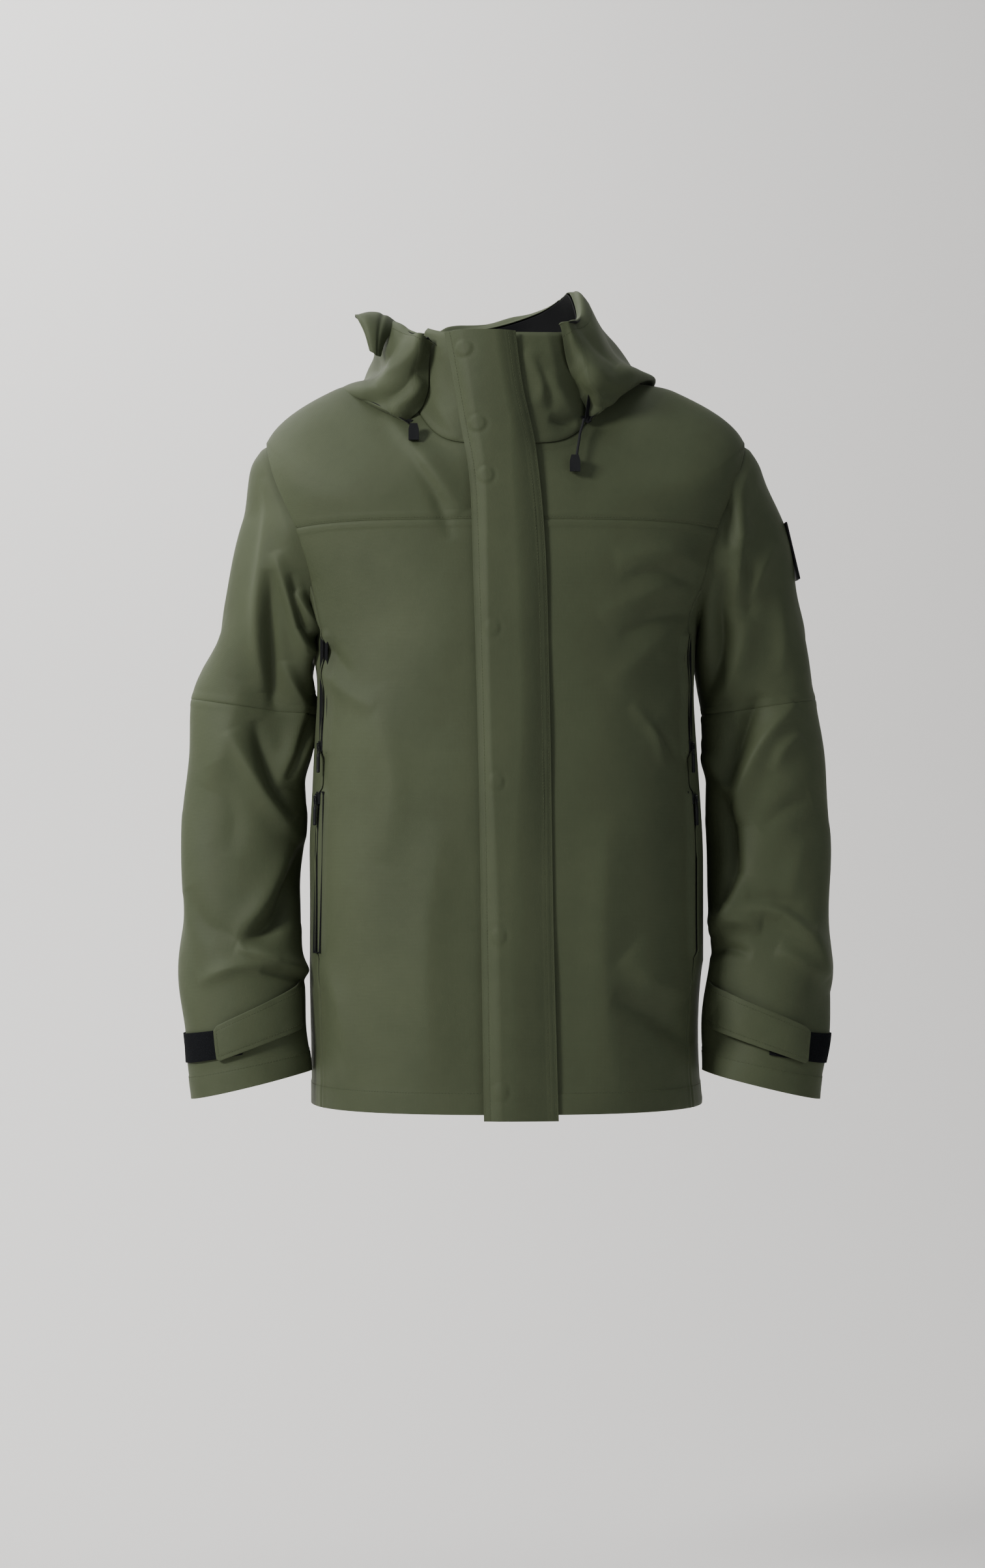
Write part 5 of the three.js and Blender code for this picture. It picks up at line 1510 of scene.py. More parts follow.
    def build(self, shell: "Finish", lining: "Finish", thread: "Finish") -> None:
        """The hood's three shell pieces, its lining and its peak.

        Args:
            shell: the outer cloth's finish.
            lining: the inner cloth's finish.
            thread: the stitching's finish.
        """
        v = spread(self.rows, 0.17)
        spans = {
            "hood_side_left": (0.0, self.left_seam, 110),
            "hood_centre": (self.left_seam, self.right_seam, 130),
            "hood_side_right": (self.right_seam, 1.0, 110),
        }
        for node, (start, end, columns) in spans.items():
            u = lerp(start, end, spread(columns, 0.28))
            grid, normal = self.drape(self.surface(u, v), u, v)
            gap = edge_distances(grid)
            lift = 0
            for edge in (Edge.START, Edge.END):
                joined = not ((edge is Edge.START and start == 0.0) or (edge is Edge.END and end == 1.0))
                seam = TOP_STITCHED if joined else HEM
                lift = lift + seam.lift(gap[edge])
            lift = lift - 0.0004 * bell(gap[Edge.TOP], self.rim_row, 0.0012)
            grid = grid + normal * lift[..., None]
            sewn_cloth(f"{node}_cloth", grid, normal, self.thickness, (node,), shell)
            row = int(np.argmin(np.abs(gap[Edge.TOP][:, 5] - self.rim_row)))
            sew(f"{node}_rim_stitch", grid[row], normal[row], thread)
        self.lining(lining)
        self.brim(shell)

    def lining(self, lining: "Finish") -> None:
        """The black lining, from inside the rim down to the seam round the neck."""
        u = np.linspace(*self.lining_span, 180)
        rim = self.surface(u, np.array([0.985]))[0]
        angle = np.arctan2(rim[:, 0], -rim[:, 1]) % (2 * np.pi)
        foot = BODY.point(angle, NECK_LEVEL)
        foot = foot + unit(foot * [1, 1, 0]) * 0.002 + [0, 0, 0.006]
        inward = unit(rim * [1, 1, 0])
        top = rim - inward * 0.002 - [0, 0, 0.003]
        middle = lerp(top, foot, 0.5) + inward * 0.014
        share = spread(40, 0.11)
        ribs = np.stack([top, lerp(top, middle, 0.55), middle, lerp(middle, foot, 0.6), foot])
        grid = catmull(ribs, share)
        uu, vv = np.broadcast_arrays(u[None, :], share[:, None])
        ripple = value_noise(uu * 16, vv * 3, 51) * 0.0030 * np.sin(np.pi * vv)
        grid = grid - inward[None] * ripple[..., None]
        out = grid_normals(grid, False)
        if np.mean(np.sum(out * grid * [1, 1, 0], -1)) > 0:
            out = -out
        sewn_cloth("hood_lining_cloth", grid, out, self.lining_thickness, ("hood_lining",),
                   lining)

    def brim(self, shell: "Finish") -> None:
        """The stiffened peak, curled over outwards on the wearer's right."""
        ribs = (
            rib_mm((-122, -70, 24), (-126, -74, 25), (-130, -75, 27), (-133, -72, 29)),
            rib_mm((-118, -66, 38), (-125, -74, 40), (-133, -75, 44), (-139, -68, 48)),
            rib_mm((-110, -56, 52), (-122, -66, 57), (-136, -66, 62), (-147.5, -54, 66)),
            rib_mm((-106, -34, 60), (-120, -42, 69), (-136, -40, 72), (-148, -30, 68)),
            rib_mm((-106, -8, 61), (-118, -10, 70), (-130, -8, 72), (-140, -2, 67)),
            rib_mm((-102, 22, 62), (-109, 24, 67), (-116, 26, 67), (-122, 30, 62)),
        )
        v = spread(44, 0.045)
        lines = np.stack([Spline(rib).at(v) for rib in ribs])
        grid = np.swapaxes(catmull(lines, spread(70, 0.13)), 0, 1)
        normal = grid_normals(grid, False)
        if np.mean(normal[..., 2]) < 0:
            normal = -normal
        uu, vv = np.broadcast_arrays(np.linspace(0, 1, grid.shape[1])[None], v[:, None])
        crease = -0.0012 * bell(vv - 0.30 - 0.05 * np.sin(3 * uu), 0.0, 0.06)
        gap = edge_distances(grid)
        near = np.minimum.reduce([gap[e] for e in (Edge.TOP, Edge.START, Edge.END)])
        crease = crease - 0.0004 * bell(near, 0.005, 0.0011)
        grid = grid + normal * (crease + 0.0007 * value_noise(uu * 5, vv * 3, 61))[..., None]
        sewn_cloth("hood_brim_cloth", grid, normal, self.brim_thickness, ("hood_brim",),
                   shell)


# ------------------------------------------------------------------ zips
@dataclass
class Zip:
    """One zip: tape, coil and puller, set from where its joints stand."""

    name: str
    coil_width: float
    length: float
    slider_drop: float
    puller_length: float
    tape_side: float = 0.006
    tape_thickness: float = 0.0008
    coil_height: float = 0.0016
    tooth_pitch: float = 0.00125
    tuck: float = 0.002

    @property
    def bar(self) -> float:
        """How far the puller's pivot stands off the tape's back."""
        return self.tape_thickness + self.coil_height + 0.0016 + 0.3 * self.coil_width

    def axes(self) -> tuple[Array, Array]:
        """The zip's origin at its top, and its right, back and up axes as rows."""
        joints = {j["name"]: j for j in frame["joints"]}
        slide = np.array(joints[f"{self.name}_slide"]["axis"], float)
        swing = joints[f"{self.name}_puller_swing"]
        up = slide if self.name.startswith("pit") else -slide
        right = -np.array(swing["axis"], float)
        back = np.cross(up, right)
        origin = np.array(swing["pos_m"], float) + back * self.bar + up * self.slider_drop
        return origin, np.stack([right, back, up])

    def to_world(self, places: Array, at_slider: bool = False) -> Array:
        """Places of the zip's own frame in the row's; at_slider measures from the puller's bar."""
        origin, axes = self.axes()
        if at_slider:
            origin = origin - axes[2] * self.slider_drop - axes[1] * self.bar
        return origin + places @ axes

    def build(self, tape: "Finish", coil: "Finish", grip: "Finish") -> None:
        """The zip's soft pieces and its grip.

        Args:
            tape: finish of the tape.
            coil: finish of the coil.
            grip: finish of the puller.
        """
        half = self.coil_width / 2 + self.tape_side
        x = lerp(-half, half, spread(26, 2 * half, 0.0003))[None, :]
        z = -lerp(0.0, self.length, spread(max(24, int(self.length / 0.006)), self.length))[:, None]
        x, z = np.broadcast_arrays(x, z)
        grid = self.to_world(np.stack([x, np.full(x.shape, -self.tape_thickness), z], -1))
        out = np.broadcast_to(-self.axes()[1][1], grid.shape)
        piece = cloth_wall(f"{self.name}_tape_cloth", grid, out, self.tape_thickness)
        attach(piece, "shell")
        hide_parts(f"{self.name}_tape")
        tape.dress(piece)
        self.teeth(coil)
        self.puller(grip)

    def teeth(self, coil: "Finish") -> None:
        """The coil's turns: two rows of rounded bars that interlock along the middle."""
        stops = -np.arange(0.0015, self.length - 0.0015, self.tooth_pitch / 2)
        side = np.where(np.arange(len(stops)) % 2 == 0, -1.0, 1.0)
        centre = np.stack([
            side * self.coil_width * 0.20,
            np.full(len(stops), -self.tape_thickness - self.coil_height / 2), stops,
        ], -1)
        right, back, up = self.axes()[1]
        size = np.array([self.coil_width * 0.58, self.tooth_pitch * 0.62, self.coil_height])
        frame_axes = np.stack([right * size[0], up * size[1], -back * size[2]])
        verts, faces = lozenge()
        piece = place_copies(f"{self.name}_coil", verts, faces, self.to_world(centre),
                             np.broadcast_to(frame_axes, (len(stops), 3, 3)))
        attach(piece, "shell")
        coil.dress(piece)

    def puller(self, grip: "Finish") -> None:
        """A cord loop through the slider's crown that ends in a moulded grip."""
        reach = self.puller_length
        loop_end = 0.36 * reach
        turn = np.linspace(0, 2 * np.pi, 33)
        half = 0.0012 + 0.15 * self.coil_width
        lens = np.stack([
            half * np.sin(turn) * (1 + 0.25 * np.cos(turn)), np.zeros(33),
            -loop_end / 2 + (loop_end / 2 + 0.0006) * np.cos(turn),
        ], -1)
        loop = tube(f"{self.name}_puller_loop", self.to_world(lens, True), 0.00055, 8)
        bar = rounded_bar(f"{self.name}_puller_grip", reach - loop_end + self.tuck, 0.0044, 0.0028,
                          0.86, 0.45)
        mesh = bar.data
        flat = np.empty(len(mesh.vertices) * 3)
        mesh.vertices.foreach_get("co", flat)
        places = flat.reshape(-1, 3) - [0, 0, loop_end - self.tuck]
        mesh.vertices.foreach_set("co", self.to_world(places, True).ravel())
        mesh.update()
        for piece in (loop, bar):
            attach(piece, f"{self.name}_puller")
            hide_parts(f"{self.name}_puller")
            grip.dress(piece)


# ------------------------------------------------------------------ trims
@dataclass
class Drawcord:
    """The free end of the hood's drawcord on the wearer's left, with its bound tip."""

    x: float = 0.070
    lift: float = 0.0060
    diameter: float = 0.0025
    heights: tuple[float, ...] = (-0.0415, -0.0480, -0.0560, -0.0650, -0.0740, -0.0800)
    sway: tuple[float, ...] = (0.0020, 0.0010, 0.0, -0.0010, -0.0022, -0.0030)

    def path(self) -> Array:
        """Places along the cord, hanging off the front of the yoke."""
        z = np.array(self.heights)
        x = self.x + np.array(self.sway)
        place, normal = BODY.on_front(x, z)
        place = place + normal * self.lift
        return catmull(place, np.linspace(0, 1, 80))

    def build(self, braid: "Finish") -> None:
        """The cord, a tube along its path that moves with the shell."""
        path = self.path()
        piece = tube("drawcord_left_cord", path, self.diameter / 2, 16)
        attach(piece, "shell")
        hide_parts("drawcord_left")
        braid.dress(piece)


@dataclass
class HangerLoop:
    """The flat tape loop inside the back of the neck."""

    half: float = 0.030
    depth: float = 0.056
    bow: float = 0.008
    width: float = 0.006
    thickness: float = 0.0010

    def build(self, tape: "Finish") -> None:
        """The loop as a bowed ribbon."""
        a, d, b = self.half, self.depth, self.bow
        line = Spline((
            (-a, d, -0.006), (-a * 0.6, d - b * 0.7, 0.0), (0, d - b, 0.002), (a * 0.6, d - b * 0.7, 0.0),
            (a, d, -0.006),
        )).at(spread(60, 0.064))
        offset = (spread(8, self.width, 0.0002) - 0.5) * self.width
        grid = line[None] + np.stack([np.zeros_like(offset), 0.1 * offset, offset], -1)[:, None]
        out = np.broadcast_to(np.array([0.0, -1.0, 0.0]), grid.shape)
        piece = cloth_wall("hanger_loop_tape", grid, out, self.thickness)
        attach(piece, "shell")
        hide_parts("hanger_loop")
        tape.dress(piece)


@dataclass
class PocketBag:
    """The thin pocket behind a hand zip."""

    drop: float = 0.402
    length: float = 0.158
    depth: float = 0.150
    inset: float = 0.007
    thickness: float = 0.0008

    def build(self, side: Side, lining: "Finish") -> None:
        """One pocket bag, hanging a little slack.

        Args:
            side: the wearer's side.
            lining: the bag's finish.
        """
        seam = FRONT_SEAM - 4 * 0.0006 / BODY.half_width
        u, v = patch((40, 0.13), (44, 0.20))
        drop = lerp(self.drop + self.length + 0.040, self.drop - 0.010, v)
        level = BODY.level_at(-drop, lambda l: np.full(np.shape(l), side.value * seam))
        angle = side.value * lerp(seam - self.depth / BODY.half_width, seam, u)
        base, normal = BODY.point(angle, level), BODY.normal(angle, level)
        slack = 0.0012 * value_noise(u * 4, v * 4, 71) - 0.001
        grid = base + normal * (slack - self.inset)[..., None]
        name = f"pocket_bag_{side.label}"
        sewn_cloth(f"{name}_cloth", grid, normal, self.thickness, (name,), lining)


# ------------------------------------------------------------------ finishes
class Nodes:
    """A small helper that adds shader nodes and links to one material."""

    def __init__(self, name: str) -> None:
        """Start a material with an empty tree and a Principled shader."""
        self.material = bpy.data.materials.new(name)
        self.material.use_nodes = True
        self.tree = self.material.node_tree
        self.tree.nodes.clear()
        self.shader = self.add("ShaderNodeBsdfPrincipled")
        self.output = self.add("ShaderNodeOutputMaterial")
        self.link(self.shader.outputs["BSDF"], self.output.inputs["Surface"])

    def add(self, kind: str, **settings: object) -> bpy.types.Node:
        """A node of a kind, its settings and unlinked inputs set by name."""
        node = self.tree.nodes.new(kind)
        for key, value in settings.items():
            if key.startswith("in_"):
                node.inputs[key[3:].replace("_", " ")].default_value = value
            else:
                setattr(node, key, value)
        return node

    def link(self, start: bpy.types.NodeSocket, end: bpy.types.NodeSocket) -> None:
        """A link between two sockets."""
        self.tree.links.new(start, end)

    def constant(self, **values: object) -> None:
        """Constants on the shader's own sockets, named with underscores for spaces."""
        for key, value in values.items():
            self.shader.inputs[key.replace("_", " ")].default_value = value

    def math(self, operation: str, *values: object) -> bpy.types.NodeSocket:
        """A maths node on numbers or sockets."""
        node = self.add("ShaderNodeMath", operation=operation)
        for place, value in zip(node.inputs, values):
            if isinstance(value, (int, float)):
                place.default_value = value
            else:
                self.link(value, place)
        return node.outputs[0]

    def mix(self, factor: object, low: object, high: object) -> bpy.types.NodeSocket:
        """A colour mix; each argument is a socket or a value."""
        node = self.add("ShaderNodeMix", data_type="RGBA")
        for place, value in ((node.inputs["Factor"], factor), (node.inputs[6], low), (node.inputs[7], high)):
            if isinstance(value, bpy.types.NodeSocket):
                self.link(value, place)
            else:
                place.default_value = value
        return node.outputs[2]

    def noise(self, coords: bpy.types.NodeSocket, scale: float, detail: float = 3.0,
              roughness: float = 0.55) -> bpy.types.NodeSocket:
        """A noise value at coordinates."""
        node = self.add("ShaderNodeTexNoise", in_Scale=scale, in_Detail=detail, in_Roughness=roughness)
        self.link(coords, node.inputs["Vector"])
        return node.outputs["Fac"]

    def ramp(self, value: bpy.types.NodeSocket,
             *stops: tuple[float, tuple[float, ...]]) -> bpy.types.NodeSocket:
        """A colour ramp of stops, each a place and a colour."""
        node = self.add("ShaderNodeValToRGB")
        band = node.color_ramp
        while len(band.elements) < len(stops):
            band.elements.new(0.5)
        for element, (place, colour) in zip(band.elements, stops):
            element.position = place
            element.color = (*colour[:3], 1.0)
        self.link(value, node.inputs["Fac"])
        return node.outputs["Color"]

    def range(self, value: bpy.types.NodeSocket, low: float, high: float) -> bpy.types.NodeSocket:
        """A 0 to 1 value stretched between two numbers."""
        node = self.add("ShaderNodeMapRange", in_To_Min=low, in_To_Max=high)
        self.link(value, node.inputs["Value"])
        return node.outputs["Result"]

    def bumps(self, *layers: tuple[bpy.types.NodeSocket, float, float]) -> None:
        """Bump nodes in a chain; each layer is a height, its strength and its distance."""
        last = None
        for height, strength, distance in layers:
            node = self.add("ShaderNodeBump", in_Strength=strength, in_Distance=distance)
            self.link(height, node.inputs["Height"])
            if last is not None:
                self.link(last, node.inputs["Normal"])
            last = node.outputs["Normal"]
        self.link(last, self.shader.inputs["Normal"])


def put_on(piece: bpy.types.Object, material: bpy.types.Material) -> None:
    """Give an object one material."""
    piece.data.materials.clear()
    piece.data.materials.append(material)


def tinted(colour: Sequence[float], scale: float = 1.0, lift: float = 0.0) -> tuple[float, ...]:
    """A colour scaled and lifted, with its alpha."""
    return (*(min(1.0, scale * c + lift) for c in colour), 1.0)


@dataclass(frozen=True)
class Finish:
    """A finish whose material is made once, under the finish's own name."""

    name: str

    def paint(self, n: Nodes) -> None:
        """Fill a new material's nodes; each kind of finish has its own."""
        raise NotImplementedError

    def material(self) -> bpy.types.Material:
        """The material, made once."""
        found = bpy.data.materials.get(f"{self.name}_finish")
        if found is not None:
            return found
        n = Nodes(f"{self.name}_finish")
        self.paint(n)
        return n.material

    def dress(self, piece: bpy.types.Object) -> None:
        """Put the finish on a piece."""
        put_on(piece, self.material())


@dataclass(frozen=True)
class FabricFinish(Finish):
    """A shell cloth: plain weave with painted shade between its threads, mottled dye, paler dust and wear in
    random patches, a black inner face.
    """

    colour: tuple[float, float, float]
    shade: tuple[float, float, float]
    inner: tuple[float, float, float] = (0.006, 0.0063, 0.0072)
    roughness: float = 0.66
    sheen: float = 0.05
    threads: float = 1500.0

    def paint(self, n: Nodes) -> None:
        """The cloth's nodes."""
        uv = n.add("ShaderNodeUVMap", uv_map="cloth").outputs["UV"]
        place = n.add("ShaderNodeTexCoord").outputs["Object"]
        warp, weft = (
            n.add("ShaderNodeTexWave", wave_type="BANDS", bands_direction=direction,
                  in_Scale=self.threads / 6.3, in_Distortion=0.6, in_Detail=1.0, in_Detail_Scale=2.0)
            for direction in "XY"
        )
        for wave in (warp, weft):
            n.link(uv, wave.inputs["Vector"])
        weave = n.math("MULTIPLY", warp.outputs["Fac"], weft.outputs["Fac"])
        cloudy = n.noise(place, 9.0, 4.0, 0.6)
        fine = n.noise(uv, 900.0, 2.0)
        pebble = n.noise(uv, 260.0, 3.0, 0.62)
        dye = n.ramp(cloudy, (0.34, self.shade), (0.66, self.colour))
        speckled = n.mix(n.range(fine, 0.0, 0.30), dye, tinted(self.colour, 1.40, 0.002))
        # Painted shade: the gaps between the threads are darkened towards a darker tone of the dye.
        painted_gap_shade = n.range(n.math("SUBTRACT", 1.0, weave), 0.0, 0.22)
        gap_shaded = n.mix(painted_gap_shade, speckled, tinted(self.shade, 0.74))
        dust = n.math("MULTIPLY", n.noise(place, 34.0, 5.0, 0.7), 0.16)
        worn = n.mix(dust, gap_shaded, tinted(self.colour, 1.7, 0.003))
        lining = n.add("ShaderNodeAttribute", attribute_name="lining").outputs["Fac"]
        n.link(n.mix(lining, worn, tinted(self.inner)), n.shader.inputs["Base Color"])
        rough = n.math("ADD", n.range(n.noise(place, 22.0, 4.0), -0.05, 0.06), self.roughness)
        n.link(n.math("ADD", rough, n.math("MULTIPLY", lining, 0.22)), n.shader.inputs["Roughness"])
        n.constant(Sheen_Weight=self.sheen, Sheen_Roughness=0.42, Sheen_Tint=(0.72, 0.78, 0.60, 1.0),
                   Specular_IOR_Level=0.22)
        rumple = n.noise(place, 62.0, 4.0, 0.55)
        n.bumps((rumple, 0.26, 0.0016), (pebble, 0.10, 0.0006), (weave, 0.16, 0.0002))


@dataclass(frozen=True)
class WovenFinish(Finish):
    """A ribbed woven tape with chevron ribs."""

    colour: tuple[float, float, float] = (0.006, 0.0063, 0.007)
    ribs: float = 1400.0

    def paint(self, n: Nodes) -> None:
        """The tape's nodes."""
        uv = n.add("ShaderNodeUVMap", uv_map="cloth").outputs["UV"]
        ribs = n.add("ShaderNodeTexWave", wave_type="BANDS", bands_direction="DIAGONAL",
                     in_Scale=self.ribs / 6.3, in_Distortion=0.4)
        n.link(uv, ribs.inputs["Vector"])
        fuzz = n.noise(uv, 700.0, 3.0)
        high = n.math("MULTIPLY", ribs.outputs["Fac"], n.range(fuzz, 0.2, 0.9))
        n.link(n.mix(high, tinted(self.colour), tinted(self.colour, 2.6)), n.shader.inputs["Base Color"])
        n.link(n.range(fuzz, 0.62, 0.82), n.shader.inputs["Roughness"])
        n.constant(Specular_IOR_Level=0.2, IOR=1.25)
        n.bumps((fuzz, 0.2, 0.0003), (ribs.outputs["Fac"], 0.5, 0.0003))


@dataclass(frozen=True)
class PlainFinish(Finish):
    """A moulded, enamelled or spun finish: base colour with handling marks and fine grain."""

    colour: tuple[float, float, float]
    roughness: float
    metallic: float = 0.0
    grain: float = 900.0
    bump: float = 0.15
    coat: float = 0.0

    def paint(self, n: Nodes) -> None:
        """The finish's nodes."""
        place = n.add("ShaderNodeTexCoord").outputs["Object"]
        grain, marks = n.noise(place, self.grain, 3.0), n.noise(place, 130.0, 5.0, 0.7)
        n.link(n.mix(n.range(marks, 0.0, 0.6), tinted(self.colour), tinted(self.colour, 1.7, 0.002)),
               n.shader.inputs["Base Color"])
        n.link(n.math("ADD", n.range(marks, -0.10, 0.14), self.roughness), n.shader.inputs["Roughness"])
        n.constant(Metallic=self.metallic, Coat_Weight=self.coat, Coat_Roughness=0.3,
                   Specular_IOR_Level=0.3, IOR=1.35)
        n.bumps((grain, self.bump, 0.0002))


@dataclass(frozen=True)
class PileFinish(Finish):
    """Hook-and-loop pile: a felted mat of fine loops."""

    colour: tuple[float, float, float] = (0.0045, 0.0048, 0.0055)

    def paint(self, n: Nodes) -> None:
        """The pile's nodes."""
        uv = n.add("ShaderNodeUVMap", uv_map="cloth").outputs["UV"]
        cells = n.add("ShaderNodeTexVoronoi", feature="F1", in_Scale=1300.0)
        n.link(uv, cells.inputs["Vector"])
        loops = cells.outputs["Distance"]
        fuzz = n.noise(uv, 600.0, 4.0, 0.7)
        matted = n.math("MULTIPLY", loops, fuzz)
        n.link(n.mix(matted, tinted(self.colour), tinted(self.colour, 4.0)), n.shader.inputs["Base Color"])
        n.link(n.range(fuzz, 0.8, 0.98), n.shader.inputs["Roughness"])
        n.constant(Specular_IOR_Level=0.1, IOR=1.2)
        n.bumps((fuzz, 0.4, 0.0002), (loops, 0.6, 0.0002))


@dataclass(frozen=True)
class Wardrobe:
    """Every finish that the jacket uses."""

    shell: FabricFinish = FabricFinish("shell_fabric", (0.056, 0.068, 0.035), (0.043, 0.053, 0.027))
    lining: FabricFinish = FabricFinish("lining_fabric", (0.0060, 0.0063, 0.0072), (0.0042, 0.0045, 0.0052),
                                        roughness=0.85, sheen=0.0, threads=900.0)
    tape: WovenFinish = WovenFinish("zip_tape")
    loop_tape: WovenFinish = WovenFinish("loop_tape", (0.014, 0.0145, 0.016), 900.0)
    coil: PlainFinish = PlainFinish("coil_nylon", (0.006, 0.0063, 0.007), 0.42, grain=1500.0)
    thread: PlainFinish = PlainFinish("sewing_thread", (0.050, 0.060, 0.032), 0.72, grain=2600.0, bump=0.4)
    metal: PlainFinish = PlainFinish("zip_metal", (0.020, 0.021, 0.023), 0.36, metallic=0.7, coat=0.3)
    snap: PlainFinish = PlainFinish("snap_metal", (0.050, 0.051, 0.053), 0.34, metallic=0.85, coat=0.2)
    grip: PlainFinish = PlainFinish("pull_plastic", (0.009, 0.0095, 0.0105), 0.44, grain=1200.0)
    rubber: PlainFinish = PlainFinish("badge_rubber", (0.008, 0.0085, 0.0095), 0.62, grain=700.0, bump=0.3)
    cord: PlainFinish = PlainFinish("cord_braid", (0.012, 0.0125, 0.014), 0.74, grain=1800.0, bump=0.8)
    pile: PileFinish = PileFinish("hook_and_loop")


# ------------------------------------------------------------------ hard pieces kept from the frame
@dataclass
class HardPieces:
    """The sliders, snaps, toggles and badge of the frame, given finishes and softened edges."""

    bevel: float = 0.00035

    def dress(self, wardrobe: Wardrobe) -> None:
        """Dress every kept piece.

        Args:
            wardrobe: the finishes.
        """
        for name, node in frame["nodes"].items():
            finish = (
                wardrobe.metal if name.endswith("_slider")
                else wardrobe.snap if name.startswith("snap_")
                else wardrobe.grip if name.startswith("cord_toggle")
                else wardrobe.rubber if name == "sleeve_badge" else None
            )
            if finish is None:
                continue
            put_on(node, finish.material())
            edge = node.modifiers.new("edge", "BEVEL")
            edge.width = 0.0012 if name == "sleeve_badge" or name.startswith("cord_toggle") else self.bevel
            edge.segments = 3
            edge.limit_method = "ANGLE"
            edge.angle_limit = math.radians(35)
            LOG.info("dressed %s", name)


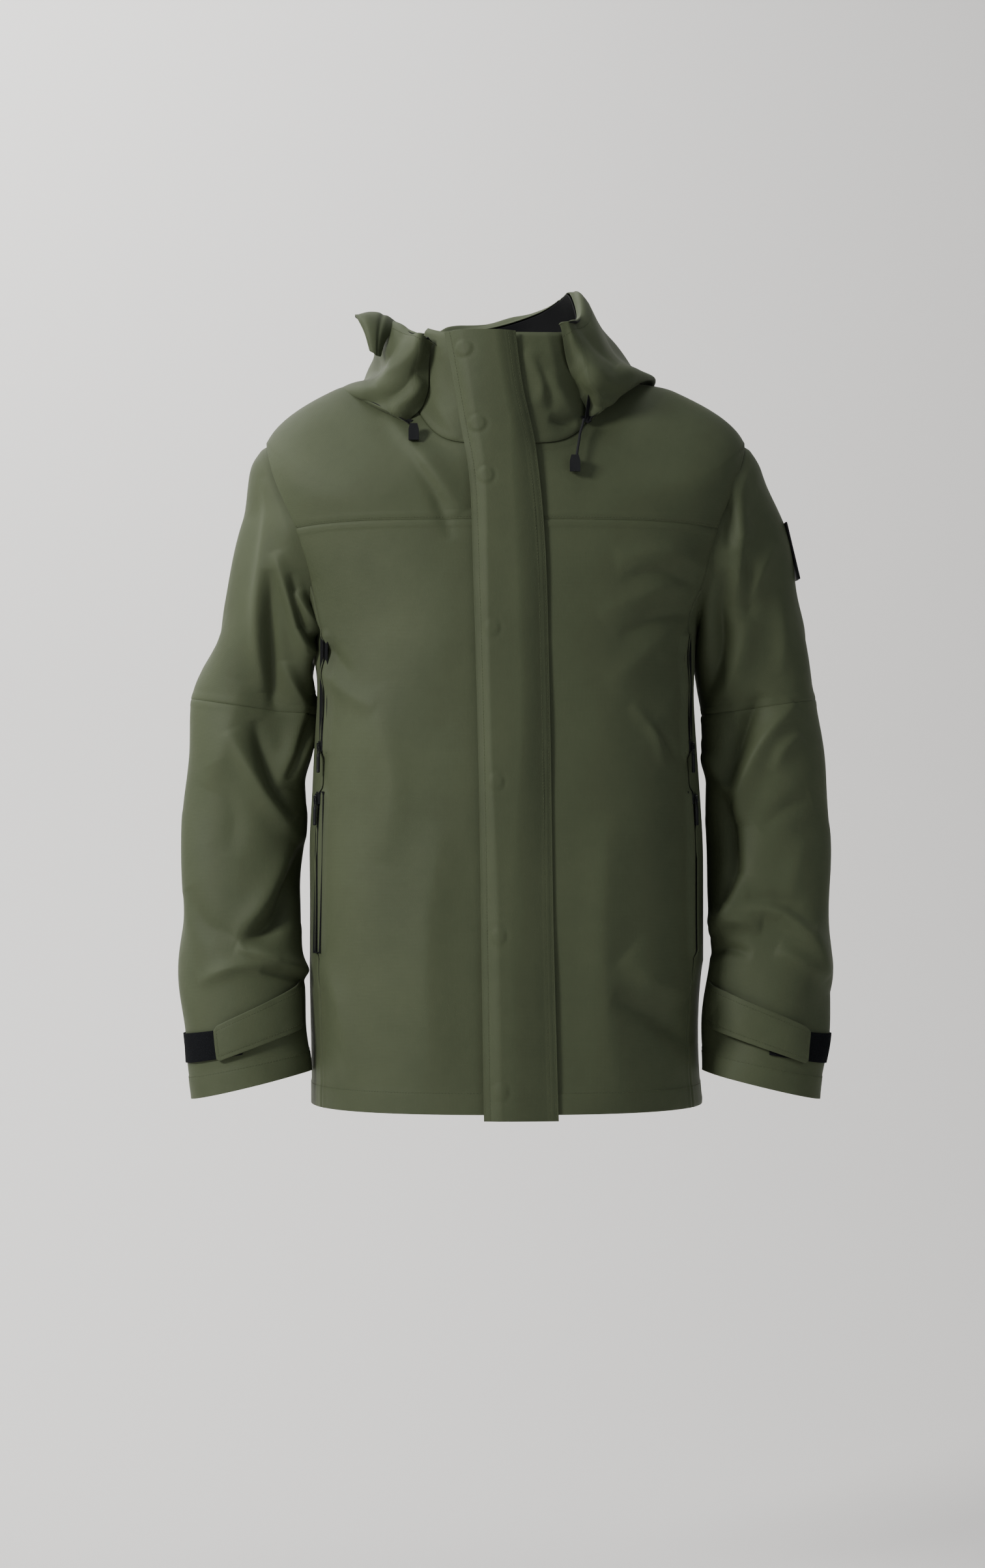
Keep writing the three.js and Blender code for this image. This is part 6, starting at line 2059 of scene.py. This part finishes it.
# ------------------------------------------------------------------ studio
@dataclass(frozen=True)
class Studio:
    """Camera, pale floor and backdrop, and soft lights."""

    eye: tuple[float, float, float] = (-0.013, -3.6, -0.3945)
    lens: float = 82.8
    paper: tuple[float, float, float] = (0.80, 0.785, 0.765)

    def camera(self) -> None:
        """A level camera that looks along +Y."""
        data = bpy.data.cameras.new("camera")
        data.sensor_fit, data.sensor_height, data.lens = "VERTICAL", 36.0, self.lens
        data.clip_start, data.clip_end = 0.05, 60.0
        camera = bpy.data.objects.new("camera", data)
        camera.location = self.eye
        camera.rotation_euler = (math.pi / 2, 0, 0)
        bpy.context.scene.collection.objects.link(camera)
        bpy.context.scene.camera = camera

    def backdrop(self) -> None:
        """A sweep of paper: floor, a wide bend and a wall."""
        floor, back, bend = -1.25, 2.4, 1.0
        turn = np.linspace(0, np.pi / 2, 24)
        profile = np.concatenate([
            [(-5.0, floor)],
            np.stack([back - bend + bend * np.sin(turn), floor + bend * (1 - np.cos(turn))], -1),
            [(back, 5.0)],
        ])
        x = np.array([-7.0, 7.0])
        grid = np.stack(np.broadcast_arrays(x[None], profile[:, :1], profile[:, 1:]), -1)
        mesh = bpy.data.meshes.new("backdrop")
        number = np.arange(grid.shape[0] * 2).reshape(-1, 2)
        faces = quads(number).reshape(-1, 4)
        mesh.from_pydata(grid.reshape(-1, 3).tolist(), [], faces.tolist())
        mesh.polygons.foreach_set("use_smooth", np.ones(len(faces), dtype=bool))
        sweep = bpy.data.objects.new("backdrop", mesh)
        bpy.context.scene.collection.objects.link(sweep)
        n = Nodes("backdrop_paper")
        place = n.add("ShaderNodeTexCoord").outputs["Object"]
        tone = n.noise(place, 0.7, 2.0)
        n.link(n.mix(tone, tinted(self.paper, 0.97), tinted(self.paper)), n.shader.inputs["Base Color"])
        n.constant(Roughness=0.95, Specular_IOR_Level=0.1)
        # Seen from behind, the wall lets the view through.
        behind = n.add("ShaderNodeNewGeometry").outputs["Backfacing"]
        blend = n.add("ShaderNodeMixShader")
        clear = n.add("ShaderNodeBsdfTransparent")
        for start, end in ((behind, 0), (n.shader.outputs[0], 1), (clear.outputs[0], 2)):
            n.link(start, blend.inputs[end])
        n.link(blend.outputs[0], n.output.inputs["Surface"])
        put_on(sweep, n.material)
        sweep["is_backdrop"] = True

    def light(self, name: str, place: Sequence[float], aim: Sequence[float], size: float, watts: float,
              colour: tuple[float, float, float] = (1.0, 1.0, 1.0)) -> None:
        """A square soft light turned towards a point."""
        data = bpy.data.lights.new(name, "AREA")
        data.size, data.energy, data.color = size, watts, colour
        lamp = bpy.data.objects.new(name, data)
        lamp.location = place
        lamp.rotation_euler = (Vector(aim) - Vector(place)).to_track_quat("-Z", "Y").to_euler()
        bpy.context.scene.collection.objects.link(lamp)

    def build(self) -> None:
        """Everything round the jacket."""
        self.camera()
        self.backdrop()
        middle = (0, 0, -0.35)
        self.light("key", (-2.4, -1.9, 1.15), middle, 0.8, 112.0, (1.0, 0.985, 0.96))
        self.light("fill", (2.4, -2.8, 0.1), middle, 2.4, 13.0, (0.95, 0.97, 1.0))
        self.light("top", (-0.2, -0.1, 2.4), middle, 1.4, 26.0)
        self.light("back", (-1.6, 1.0, 1.3), (-1.0, 2.4, -0.3), 2.2, 80.0)
        world = bpy.data.worlds.new("room")
        world.use_nodes = True
        sky = world.node_tree.nodes["Background"]
        sky.inputs["Color"].default_value = (0.93, 0.95, 1.0, 1.0)
        sky.inputs["Strength"].default_value = 0.26
        bpy.context.scene.world = world


# ------------------------------------------------------------------ the jacket
def main() -> None:
    """Build the studio and the jacket, piece by piece."""
    logging.basicConfig(level=logging.INFO, format="%(message)s")
    wardrobe = Wardrobe()
    Studio().build()
    Drawcord().build(wardrobe.cord)
    torso = Torso()
    for piece in torso.build(wardrobe.shell, wardrobe.thread):
        LOG.info("built %s", piece.name)
    collar = Collar()
    for side in Side:
        LOG.info("built %s", collar.build(side, wardrobe.shell).name)
        PocketBag().build(side, wardrobe.lining)
    LOG.info("built %s", StormFlap().build(wardrobe.shell, wardrobe.thread).name)
    sleeves = (
        Sleeve(Side.RIGHT, RIGHT_SLEEVE_FOLDS, 21, slim=0.013, tab_free=64.0),
        Sleeve(Side.LEFT, LEFT_SLEEVE_FOLDS, 22),
    )
    for sleeve in sleeves:
        sleeve.build(wardrobe.shell, wardrobe.pile, wardrobe.thread)
        LOG.info("built the %s sleeve", sleeve.side.label)
    Hood().build(wardrobe.shell, wardrobe.lining, wardrobe.thread)
    LOG.info("built the hood")
    zips = [Zip("main_zip", 0.006, 0.7468, 0.0083, 0.030)]
    for side in Side:
        zips.append(Zip(f"hand_zip_{side.label}", 0.005, 0.1580, 0.00725, 0.026))
        zips.append(Zip(f"pit_zip_{side.label}", 0.005, 0.1180, 0.11075, 0.026))
    for zipper in zips:
        zipper.build(wardrobe.tape, wardrobe.coil, wardrobe.grip)
        LOG.info("built %s", zipper.name)
    HangerLoop().build(wardrobe.loop_tape)
    HardPieces().dress(wardrobe)
    boxes = {"before": CAD_BOX, "after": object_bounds()}
    {name: [list(map(float, corner)) for corner in box] for name, box in boxes.items()}


if __name__ == "__main__":
    main()
